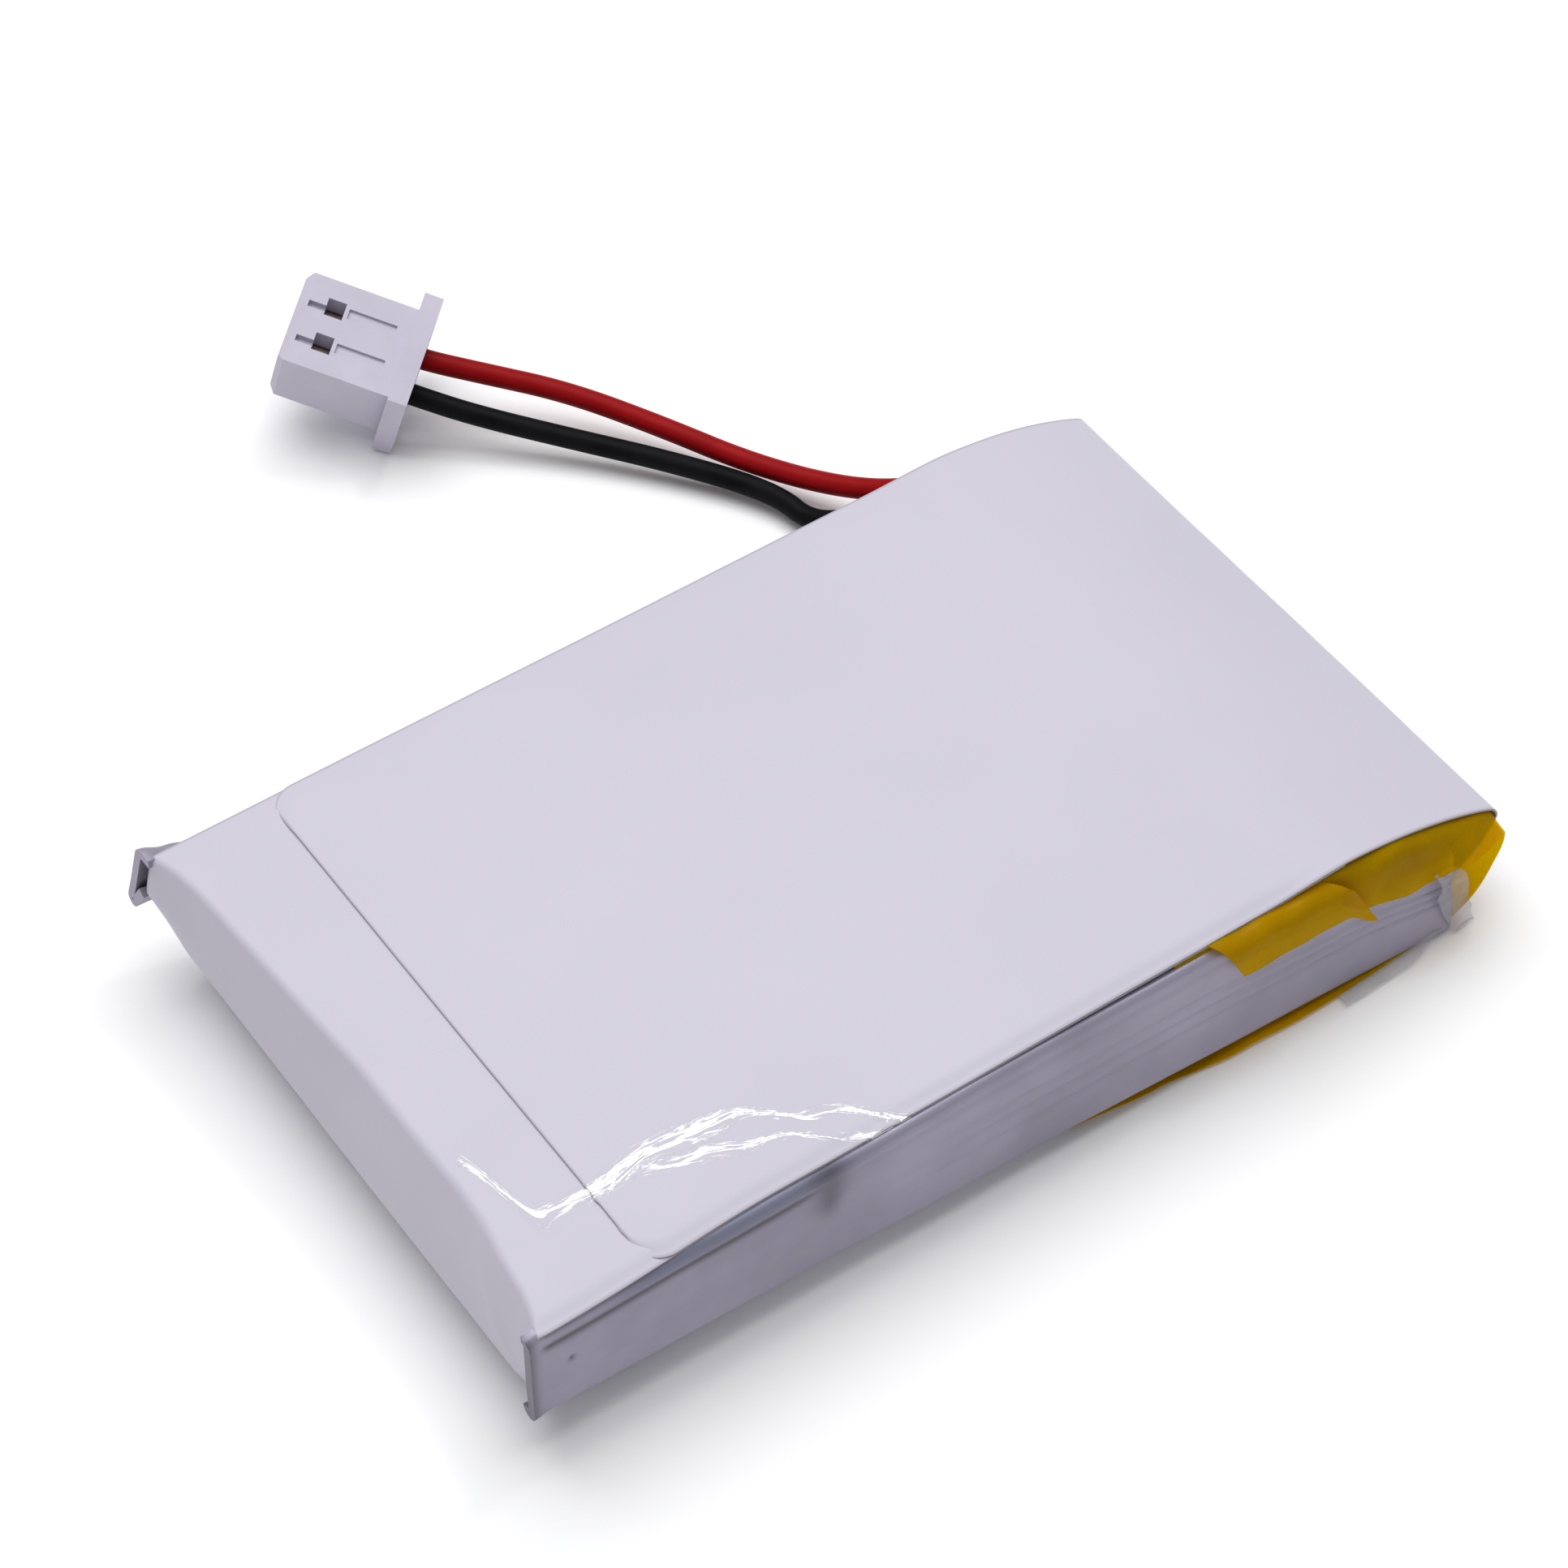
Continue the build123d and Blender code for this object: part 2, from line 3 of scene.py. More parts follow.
import bpy
import numpy as np
from bpy.props import FloatProperty, FloatVectorProperty, PointerProperty
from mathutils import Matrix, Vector


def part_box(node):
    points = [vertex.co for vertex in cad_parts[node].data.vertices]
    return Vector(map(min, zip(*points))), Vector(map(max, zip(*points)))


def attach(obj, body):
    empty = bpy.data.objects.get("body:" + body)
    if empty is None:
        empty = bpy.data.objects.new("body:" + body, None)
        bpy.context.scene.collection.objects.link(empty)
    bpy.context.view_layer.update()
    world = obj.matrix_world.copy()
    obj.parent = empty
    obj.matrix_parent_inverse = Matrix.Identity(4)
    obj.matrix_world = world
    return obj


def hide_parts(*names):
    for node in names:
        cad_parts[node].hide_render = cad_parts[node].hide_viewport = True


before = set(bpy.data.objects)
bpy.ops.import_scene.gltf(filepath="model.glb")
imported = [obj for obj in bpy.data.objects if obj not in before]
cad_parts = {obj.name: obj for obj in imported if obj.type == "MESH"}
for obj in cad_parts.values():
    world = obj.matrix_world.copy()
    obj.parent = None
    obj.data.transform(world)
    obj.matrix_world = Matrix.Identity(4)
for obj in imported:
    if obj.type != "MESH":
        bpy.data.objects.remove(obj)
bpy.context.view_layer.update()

bl_info = {
    "name": "Pouch battery pack",
    "version": (1, 0, 0),
    "blender": (4, 5, 0),
    "location": "3D View > Sidebar > Battery",
    "description": "Builds the films, foil, tapes, leads and plug of a small pouch battery pack",
    "category": "Add Mesh",
}

MM = 0.001

# The pack's own frame: +X from the folded end to the terminal end, +Z up, near side at -Y.
LABEL_LOW, LABEL_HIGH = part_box("label_film")
FOLD_X, NOSE_X = LABEL_LOW.x, LABEL_HIGH.x
EAR_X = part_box("near_side_seal")[0].x
LABEL_HALF = LABEL_HIGH.y
SEAL_OUTER = -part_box("near_side_seal")[0].y


# ---------------------------------------------------------------- settings
def size(name, millimetres, description):
    """A length that can be changed, given in millimetres and kept in metres."""
    return FloatProperty(name=name, description=description, default=millimetres * MM,
                         unit="LENGTH", precision=5)


def angle(name, degrees, description):
    """An angle that can be changed, given in degrees."""
    return FloatProperty(name=name, description=description, default=radians(degrees),
                         unit="ROTATION")


def tint(name, colour, description):
    """A colour that can be changed."""
    return FloatVectorProperty(name=name, description=description, default=colour, size=3,
                               min=0, max=1, subtype="COLOR")


class OutlineSizes(bpy.types.PropertyGroup):
    """Side outline that the label and the amber tape follow."""

    shoulder: size("Shoulder radius", 0.5, "Top edge of the fold end")
    heel: size("Heel radius", 4.0, "Bottom edge of the fold end")
    lean: angle("Fold lean", 24.0, "By which the fold end's face leans back")
    taper: size("Taper radius", 20.0, "The top's fall towards the terminal end")
    taper_turn: angle("Taper turn", 26.0, "How far the top turns down before the nose")
    nose: size("Nose radius", 1.0, "Bend at the terminal end")


class LabelSizes(bpy.types.PropertyGroup):
    """White film wrapped lengthwise round the cell."""

    film: size("Film", 0.1, "Thickness of the film")
    overlap_start: size("Overlap start", 5.8, "From the ears to the upper layer's edge")
    overlap_end: size("Overlap end", 41.0, "From the ears to the lower layer's edge")
    corner: size("Corner radius", 1.3, "Rounded corners of the upper layer")
    droop: size("Edge droop", 0.22, "How far the long edges bend down")
    crease_height: size("Crease height", 0.09, "Height of the crinkled fold")
    underside_round: size("Underside edge radius", 2.2, "The long edges bend up underneath")


class SealSizes(bpy.types.PropertyGroup):
    """Sealed edges of the pouch, folded up against its sides."""

    thickness: size("Thickness", 0.28, "Two plies of laminate")
    ear_thickness: size("Ear thickness", 0.46, "The plies splay apart at the fold end")
    lip: size("Lip", 0.6, "How far the top edge leans inwards")
    low: size("Low edge", 2.45, "Height of the fold at the ear")
    drop: size("Drop", 2.2, "By how much the fold sinks along the pack")
    flare: size("Flare", 0.45, "How far the fold leans out at the terminal end")
    wrinkle: size("Wrinkle depth", 0.07, "Pressed lines along the wall")


class TapeSizes(bpy.types.PropertyGroup):
    """Amber tape and clear tape."""

    film: size("Film", 0.08, "Thickness of the tapes")
    inset: size("Inset", 0.2, "From the outline to the middle of the amber tape")


class LeadSizes(bpy.types.PropertyGroup):
    """The two leads."""

    diameter: size("Diameter", 1.05, "Over the jacket")


class Finishes(bpy.types.PropertyGroup):
    """Main colours."""

    film: tint("Label film", (0.565, 0.54, 0.625), "White film with a cool cast")
    foil: tint("Pouch foil", (0.365, 0.337, 0.425), "Nylon-faced aluminium laminate")
    # Painted bluish reflection on the near seal's top lip.
    lip: tint("Lip reflection", (0.21, 0.215, 0.29), "The foil's bluish inner face at the seal's edge")
    amber: tint("Amber tape", (0.93, 0.735, 0.012), "What the amber film lets through")
    red: tint("Red jacket", (0.31, 0.004, 0.006), "Positive lead")
    black: tint("Black jacket", (0.005, 0.005, 0.006), "Negative lead")
    plug: tint("Plug", (0.54, 0.51, 0.605), "Unfilled nylon")


class StudioSettings(bpy.types.PropertyGroup):
    """Camera and light."""

    azimuth: angle("Azimuth", 35.02, "Camera's turn from the near side towards the fold end")
    elevation: angle("Elevation", 49.18, "Camera's height above the horizon")
    distance: size("Distance", 192.72, "From the camera to the point it looks at")
    lens: FloatProperty(name="Lens", description="Focal length on a 36 mm sensor", default=101.0)
    overhead: FloatProperty(name="Overhead lamp", description="Power in watts", default=2.5)
    sky: FloatProperty(name="Surround", description="Strength of the even light", default=0.4)


SETTINGS = {"pack_outline": OutlineSizes, "pack_label": LabelSizes, "pack_seal": SealSizes,
            "pack_tape": TapeSizes, "pack_lead": LeadSizes, "pack_finish": Finishes,
            "pack_studio": StudioSettings}


# ---------------------------------------------------------------- surfaces
def smooth(value, start, end):
    """0 before start, 1 after end, with an S-shaped rise 3t^2 - 2t^3 between them."""
    t = np.clip((value - start) / (end - start), 0, 1)
    return t * t * (3 - 2 * t)


def bell(value, centre, width):
    """1 at the centre, falling away as exp(-(distance / width)^2)."""
    return np.exp(-((value - centre) / width) ** 2)


def through(value, *knots):
    """Value carried along the knots (place, height) with an S-shaped rise between each pair."""
    height = np.full(np.shape(value), float(knots[0][1]))
    for (start, low), (end, high) in zip(knots, knots[1:]):
        height = height + (high - low) * smooth(value, start, end)
    return height


def through_mm(value, *knots):
    """The same with the places of the knots in millimetres."""
    return through(value, *((place * MM, height) for place, height in knots))


def ripple(points, length, seed, waves=9):
    """Soft bumps from -1 to 1: a sum of sine waves about that long, in seeded directions."""
    random = np.random.default_rng(seed)
    direction = random.normal(size=(waves, 3))
    direction /= np.linalg.norm(direction, axis=1, keepdims=True)
    scale = 2 * pi / (length * random.uniform(0.7, 1.5, waves))
    phase = random.uniform(0, 2 * pi, waves)
    return np.sin((points @ direction.T) * scale + phase).sum(axis=-1) / waves ** 0.5 / 1.5


def walk(start, heading, moves):
    """Line in a plane drawn as a chain of moves, for a whole row of starts at once.

    A move is (length, turn, rows): it goes that far while its heading turns by that angle, so
    a turn of 0 is a straight run and any other is an arc of radius length / turn. Returns the
    two coordinates as grids, one row for each step and one column for each start."""
    first, second = np.broadcast_arrays(*(np.atleast_1d(np.asarray(v, float)) for v in start))
    firsts, seconds = [], []
    for length, turn, rows in moves:
        share = np.linspace(0, 1, rows + 1)[:, None]
        length = length * np.ones_like(first)
        if turn:
            way = heading + share * turn
            run = first + length / turn * (np.sin(way) - sin(heading))
            rise = second - length / turn * (np.cos(way) - cos(heading))
        else:
            run = first + share * length * cos(heading)
            rise = second + share * length * sin(heading)
        heading += turn
        first, second = run[-1], rise[-1]
        firsts.append(run[:-1])
        seconds.append(rise[:-1])
    return (np.concatenate(firsts + [first[None]]), np.concatenate(seconds + [second[None]]))


def distance_along(x, z):
    """How far along a walked line each of its rows lies, measured in the first column."""
    steps = np.hypot(np.diff(x[:, 0]), np.diff(z[:, 0]))
    return np.concatenate([[0], np.cumsum(steps)])


def normals_of(points):
    """Unit normals of a grid surface: the cross product of its steps along rows and columns."""
    normal = np.cross(np.gradient(points, axis=0), np.gradient(points, axis=1))
    return normal / np.maximum(np.linalg.norm(normal, axis=2, keepdims=True), 1e-15)


def quads(number):
    """Faces of a grid of vertex numbers, counter-clockwise seen from its normals' side."""
    return np.stack([number[:-1, :-1], number[1:, :-1], number[1:, 1:], number[:-1, 1:]],
                    axis=-1).reshape(-1, 4)


def new_piece(name, points, faces, fields, sharp):
    """Mesh object from arrays, smooth but for edges sharper than the given angle."""
    mesh = bpy.data.meshes.new(name)
    mesh.from_pydata(points.reshape(-1, 3), [], faces)
    mesh.polygons.foreach_set("use_smooth", np.ones(len(mesh.polygons), bool))
    for field, values in fields.items():
        attribute = mesh.attributes.new(field, "FLOAT", "POINT")
        attribute.data.foreach_set("value", np.asarray(values, np.float32).ravel())
    mesh.update()
    mesh.set_sharp_from_angle(angle=sharp)
    piece = bpy.data.objects.new(name, mesh)
    bpy.context.scene.collection.objects.link(piece)
    return piece


def film(name, middle, thickness, fields=None, sharp=radians(50)):
    """A film with real thickness, from the grid of points along its middle.

    Its two faces lie half the thickness to each side along the grid's normals, and a rim of
    faces joins them round all four edges, so that the piece is one closed shell."""
    rows, columns = middle.shape[:2]
    lift = normals_of(middle) * np.broadcast_to(thickness, (rows, columns))[..., None] / 2
    top, under = np.arange(2 * rows * columns).reshape(2, rows, columns)

    def ring(number):
        return np.concatenate([number[0], number[1:, -1], number[-1, -2::-1],
                               number[-2:0:-1, 0]])

    rim_top, rim_under = ring(top), ring(under)
    rim = np.stack([rim_top, np.roll(rim_top, -1), np.roll(rim_under, -1), rim_under], axis=-1)
    faces = np.concatenate([quads(top), quads(under)[:, ::-1], rim])
    both = {field: np.stack([values, values]) for field, values in (fields or {}).items()}
    return new_piece(name, np.stack([middle + lift, middle - lift]), faces, both, sharp)


def settle(piece, material, slot, *nodes):
    """Give a piece its material, ride it on the pack and let it stand for CAD nodes; the slot
    is not used.
    """
    piece.data.materials.clear()
    piece.data.materials.append(material)
    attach(piece, "root")
    if nodes:
        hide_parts(*nodes)
    return piece


# ---------------------------------------------------------------- shared shader effects
def new_group(name, inputs, outputs):
    """Empty shader node group with the named inputs (kind, name, default) and outputs."""
    group = bpy.data.node_groups.new(name, "ShaderNodeTree")
    for kind, label, default in inputs:
        socket = group.interface.new_socket(label, in_out="INPUT", socket_type=kind)
        socket.default_value = default
    for kind, label in outputs:
        group.interface.new_socket(label, in_out="OUTPUT", socket_type=kind)
    return group, group.nodes.new("NodeGroupInput"), group.nodes.new("NodeGroupOutput")


def add_node(tree, kind, links=None, **values):
    """New node with its settings, its input values and its links, by input name or number."""
    node = tree.nodes.new(kind)
    for key, value in values.items():
        setattr(node, key, value)
    for key, value in (links or {}).items():
        if isinstance(value, bpy.types.NodeSocket):
            tree.links.new(value, node.inputs[key])
        else:
            node.inputs[key].default_value = value
    return node


def mixed(tree, mask, first, second):
    """Colour output that goes from the first colour to the second where the mask is 1."""
    return add_node(tree, "ShaderNodeMix", {0: mask, 6: first, 7: second},
                    data_type="RGBA").outputs[2]


def combine(tree, operation, *values):
    """Output of a math node that works on the given values."""
    return add_node(tree, "ShaderNodeMath", dict(enumerate(values)),
                    operation=operation).outputs[0]


def drift_group():
    """Uneven colour and gloss in soft patches, and a fine grain for the bump."""
    group, given, out = new_group(
        "Surface drift",
        [("NodeSocketVector", "Place", (0, 0, 0)), ("NodeSocketColor", "Colour", (1, 1, 1, 1)),
         ("NodeSocketColor", "Second colour", (1, 1, 1, 1)), ("NodeSocketFloat", "Patches", 300),
         ("NodeSocketFloat", "Roughness", 0.4), ("NodeSocketFloat", "Gloss drift", 0.1),
         ("NodeSocketFloat", "Grain", 4000)],
        [("NodeSocketColor", "Colour"), ("NodeSocketFloat", "Roughness"),
         ("NodeSocketFloat", "Height")])
    place = given.outputs["Place"]
    patch = add_node(group, "ShaderNodeTexNoise", {"Vector": place, "Detail": 3.0,
                                                   "Scale": given.outputs["Patches"]})
    soft = add_node(group, "ShaderNodeMapRange", {"Value": patch.outputs["Fac"],
                                                  "From Min": 0.32, "From Max": 0.68}).outputs[0]
    mix = mixed(group, soft, given.outputs["Colour"], given.outputs["Second colour"])
    grain = add_node(group, "ShaderNodeTexNoise", {"Vector": place, "Detail": 2.0,
                                                   "Scale": given.outputs["Grain"]})
    spread = combine(group, "MULTIPLY", soft, given.outputs["Gloss drift"])
    rough = combine(group, "ADD", given.outputs["Roughness"], spread)
    for name, source in (("Colour", mix), ("Roughness", rough),
                         ("Height", grain.outputs["Fac"])):
        group.links.new(source, out.inputs[name])
    return group


def specks_group():
    """Mask of sparse tiny dust specks: the cores of a few chosen cells of a cell pattern."""
    group, given, out = new_group(
        "Dust specks",
        [("NodeSocketVector", "Place", (0, 0, 0)), ("NodeSocketFloat", "Cells", 160),
         ("NodeSocketFloat", "Core", 0.012), ("NodeSocketFloat", "Share", 0.5)],
        [("NodeSocketFloat", "Mask")])
    cells = add_node(group, "ShaderNodeTexVoronoi", {"Vector": given.outputs["Place"],
                                                     "Scale": given.outputs["Cells"]})
    core = combine(group, "LESS_THAN", cells.outputs["Distance"], given.outputs["Core"])
    part = add_node(group, "ShaderNodeSeparateColor", {"Color": cells.outputs["Color"]})
    chosen = combine(group, "LESS_THAN", part.outputs[0], given.outputs["Share"])
    group.links.new(combine(group, "MULTIPLY", core, chosen), out.inputs["Mask"])
    return group


def highlight_threads_group():
    """Painted highlight: broken bright threads inside a mask, for glints of light off the crinkled
    film. A noise stretched along its first axis, cut to its ridges."""
    group, given, out = new_group(
        "Crinkle threads",
        [("NodeSocketVector", "Place", (0, 0, 0)), ("NodeSocketFloat", "Within", 1.0),
         ("NodeSocketFloat", "Fineness", 1000)],
        [("NodeSocketFloat", "Mask")])
    stretch = add_node(group, "ShaderNodeMapping", {"Vector": given.outputs["Place"],
                                                    "Scale": (0.16, 1.3, 1.0)})
    noise = add_node(group, "ShaderNodeTexNoise", {"Vector": stretch.outputs[0], "Detail": 5.0,
                                                   "Roughness": 0.62, "Distortion": 0.5,
                                                   "Scale": given.outputs["Fineness"]})
    ridge = combine(group, "ABSOLUTE", combine(group, "SUBTRACT", noise.outputs["Fac"], 0.5))
    narrow = add_node(group, "ShaderNodeMapRange", {"Value": ridge, "From Min": 0.0,
                                                    "From Max": 0.14, "To Min": 1.0,
                                                    "To Max": -0.35})
    total = combine(group, "ADD", narrow.outputs[0], given.outputs["Within"])
    cut = add_node(group, "ShaderNodeMapRange", {"Value": total, "From Min": 1.02,
                                                 "From Max": 1.38})
    group.links.new(cut.outputs[0], out.inputs["Mask"])
    return group


def place_group(tree, name, build, links):
    """A shared group, built the first time, placed in a material with its own values."""
    group = bpy.data.node_groups.get(name) or build()
    return add_node(tree, "ShaderNodeGroup", links, node_tree=group)


def painted(tree, name):
    """Value that a piece's mesh carries at each of its points under that name."""
    return add_node(tree, "ShaderNodeAttribute", attribute_name=name).outputs["Fac"]


# ---------------------------------------------------------------- materials
FINISH_PREFIX = "finish_"
CUT_EDGE_GREY, DUST_GREY = (0.2, 0.18, 0.19), (0.04, 0.04, 0.05)
# White of the painted highlight threads on the label; grey of the near seal's smudge and of its
# painted shade.
HIGHLIGHT_WHITE, SMEAR_AND_SHADE_GREY = (1.0, 1.0, 1.0), (0.06, 0.055, 0.07)


def rgba(colour):
    return (*colour, 1.0)


def shaded(colour, factor):
    """The same colour, darker or lighter."""
    return tuple(min(1.0, channel * factor) for channel in colour)


def finish(name, colour, second=None, patches=300, roughness=0.4, gloss_drift=0.1, metallic=0.0,
           specular=0.25, grain=4000, bump=0.15, bump_depth=0.02, **sockets):
    """Material whose colour and gloss drift in patches over a fine grain.

    Further values are set on the shader's own sockets, by their names with _ for a space."""
    material = bpy.data.materials.new(FINISH_PREFIX + name)
    material.use_nodes = True
    tree = material.node_tree
    shader = tree.nodes["Principled BSDF"]
    place = add_node(tree, "ShaderNodeTexCoord").outputs["Object"]
    drift = place_group(tree, "Surface drift", drift_group, {
        "Place": place, "Colour": rgba(colour),
        "Second colour": rgba(second or shaded(colour, 0.9)), "Patches": patches,
        "Roughness": roughness, "Gloss drift": gloss_drift, "Grain": grain})
    relief = add_node(tree, "ShaderNodeBump", {"Height": drift.outputs["Height"],
                                               "Strength": bump, "Distance": bump_depth * MM})
    tree.links.new(drift.outputs["Colour"], shader.inputs["Base Color"])
    tree.links.new(drift.outputs["Roughness"], shader.inputs["Roughness"])
    tree.links.new(relief.outputs[0], shader.inputs["Normal"])
    shader.inputs["Metallic"].default_value = metallic
    shader.inputs["Specular IOR Level"].default_value = specular
    for key, value in sockets.items():
        shader.inputs[key.replace("_", " ")].default_value = value
    return material, tree, shader, place, drift, relief


def film_material(colour):
    """Glossy white film: painted highlight threads in its crinkled fold, grey cut edges, dust
    specks.
    """
    material, tree, shader, place, drift, relief = finish(
        "white_film", colour, shaded(colour, 0.965), patches=75, roughness=0.36, gloss_drift=0.08,
        specular=0.2, grain=900, bump=0.05)
    crease = painted(tree, "crease")
    edge = painted(tree, "edge")
    lengthwise = painted(tree, "crease_run")
    crosswise = painted(tree, "crease_off")
    beside = add_node(tree, "ShaderNodeCombineXYZ", {"X": lengthwise, "Y": crosswise})
    # Painted highlight threads along the crinkled fold.
    highlight_threads = place_group(tree, "Crinkle threads", highlight_threads_group,
                          {"Place": beside.outputs[0], "Within": crease, "Fineness": 2600})
    specks = place_group(tree, "Dust specks", specks_group,
                         {"Place": place, "Cells": 130, "Core": 0.009, "Share": 0.25})
    body = mixed(tree, edge, drift.outputs["Colour"], rgba(CUT_EDGE_GREY))
    body = mixed(tree, specks.outputs["Mask"], body, rgba(DUST_GREY))
    # Paint the highlight threads white.
    body = mixed(tree, highlight_threads.outputs["Mask"], body, rgba(HIGHLIGHT_WHITE))
    tree.links.new(body, shader.inputs["Base Color"])
    ridge = add_node(tree, "ShaderNodeBump", {"Height": highlight_threads.outputs["Mask"], "Strength": 0.5,
                                              "Distance": 0.03 * MM,
                                              "Normal": relief.outputs[0]})
    tree.links.new(ridge.outputs[0], shader.inputs["Normal"])
    return material


def foil_material(colour, lip_reflection_colour):
    """Satin laminate foil with pressed lines along the seal, a painted bluish reflection on the
    lip, a grey smudge and painted shade under the hem, in the dent and at the ear.
    """
    material, tree, shader, place, drift, relief = finish(
        "pouch_foil", colour, shaded(colour, 0.86), patches=220, roughness=0.36, gloss_drift=0.14,
        metallic=0.35, grain=2600, bump=0.12)
    lines = add_node(tree, "ShaderNodeMapping", {"Vector": place, "Scale": (0.06, 1.0, 1.0)})
    pressed = add_node(tree, "ShaderNodeTexNoise", {"Vector": lines.outputs[0], "Scale": 1900.0,
                                                    "Detail": 3.0})
    smear = painted(tree, "smear")
    wrinkled = add_node(tree, "ShaderNodeBump", {"Height": pressed.outputs["Fac"],
                                                 "Strength": 0.2, "Distance": 0.05 * MM,
                                                 "Normal": relief.outputs[0]})
    # Painted bluish reflection on the seal's lip.
    lip = painted(tree, "lip")
    body = mixed(tree, lip, drift.outputs["Colour"], rgba(lip_reflection_colour))
    # Grey of a real smudge, and painted shade under the hem, in the dent and at the ear.
    body = mixed(tree, smear, body, rgba(SMEAR_AND_SHADE_GREY))
    tree.links.new(body, shader.inputs["Base Color"])
    tree.links.new(wrinkled.outputs[0], shader.inputs["Normal"])
    return material


def clear_film_material(name, passed, colour, opaque, roughness, grain, depth, specular=0.15):
    """See-through film: some of it is a glossy surface, and the rest lets tinted light pass."""
    material, tree, shader, *_ = finish(
        name, colour, shaded(colour, 0.8), patches=420, roughness=roughness, gloss_drift=0.08,
        specular=specular, grain=grain, bump=0.5, bump_depth=depth)
    see_through = add_node(tree, "ShaderNodeBsdfTransparent", {"Color": rgba(passed)})
    mix = add_node(tree, "ShaderNodeMixShader", {0: opaque, 1: see_through.outputs[0],
                                                 2: shader.outputs[0]})
    tree.links.new(mix.outputs[0], tree.nodes["Material Output"].inputs["Surface"])
    return material


def materials():
    """Every finish by its slot name, made the first time it is asked for."""
    if FINISH_PREFIX + "white_film" not in bpy.data.materials:
        make_materials(bpy.context.scene.pack_finish)
    return {material.name.removeprefix(FINISH_PREFIX): material
            for material in bpy.data.materials if material.name.startswith(FINISH_PREFIX)}


def make_materials(look):
    """All the finishes, with the main colours from the settings."""
    film_material(look.film)
    foil_material(look.foil, look.lip)
    clear_film_material("amber_tape", look.amber, (0.72, 0.46, 0.002), 0.34, 0.14, 700, 0.05,
                        specular=0.05)
    clear_film_material("clear_tape", (0.93, 0.93, 0.94), (0.75, 0.74, 0.78), 0.22, 0.18, 900, 0.2)
    clear_film_material("separator_film", (0.9, 0.9, 0.92), (0.85, 0.85, 0.87), 0.6, 0.4, 900, 0.05)
    clear_film_material("seal_film", (0.85, 0.88, 0.9), (0.6, 0.64, 0.66), 0.5, 0.35, 900, 0.05)
    clear_film_material("green_tape", (0.3, 0.8, 0.45), (0.08, 0.42, 0.18), 0.6, 0.3, 900, 0.03)
    for name, colour, roughness, grain in (
            ("copper_foil", (0.75, 0.36, 0.2), 0.3, 4000),
            ("aluminium_foil", (0.62, 0.63, 0.65), 0.35, 4000),
            ("aluminium_tab", (0.66, 0.66, 0.69), 0.32, 6000),
            ("nickel_tab", (0.55, 0.52, 0.46), 0.3, 6000)):
        finish(name, colour, roughness=roughness, metallic=1.0, grain=grain)
    finish("pad_paper", (0.5, 0.47, 0.36), roughness=0.85, grain=7000, bump=0.4)
    finish("board_green", (0.015, 0.11, 0.045), (0.03, 0.18, 0.08), patches=900, roughness=0.3,
           Coat_Weight=0.4)
    finish("chip_black", (0.018, 0.018, 0.02), roughness=0.55, grain=9000, bump=0.3)
    finish("resistor_black", (0.03, 0.03, 0.035), roughness=0.4, grain=9000)
    finish("capacitor_tan", (0.36, 0.23, 0.13), roughness=0.5, grain=9000)
    finish("solder", (0.63, 0.63, 0.65), roughness=0.22, metallic=1.0, grain=2500, bump=0.3)
    finish("red_jacket", look.red, shaded(look.red, 0.85), patches=500, roughness=0.38,
           gloss_drift=0.08, specular=0.07, grain=5000, bump=0.2)
    finish("black_jacket", look.black, shaded(look.black, 1.7), patches=500, roughness=0.36,
           gloss_drift=0.1, specular=0.04, grain=5000, bump=0.2)
    finish("white_nylon", look.plug, shaded(look.plug, 0.95), patches=350, roughness=0.45,
           specular=0.2, grain=5200, bump=0.25, Subsurface_Weight=0.08,
           Subsurface_Scale=0.3 * MM)
    finish("tinned_contact", (0.9, 0.8, 0.66), (0.6, 0.5, 0.4), patches=1500, roughness=0.16,
           metallic=1.0)


# ---------------------------------------------------------------- pieces
def outline_values(sizes):
    """Where the side outline's runs meet: the taper's start, the belly radius, the base's end."""
    turn = sizes.taper_turn
    top = LABEL_HIGH.z - bpy.context.scene.pack_label.film
    taper_x = NOSE_X - sizes.taper * sin(turn) - sizes.nose * (1 - sin(turn))
    belly = top - sizes.taper * (1 - cos(turn)) - sizes.nose * cos(turn)
    return top, taper_x, belly, NOSE_X - belly


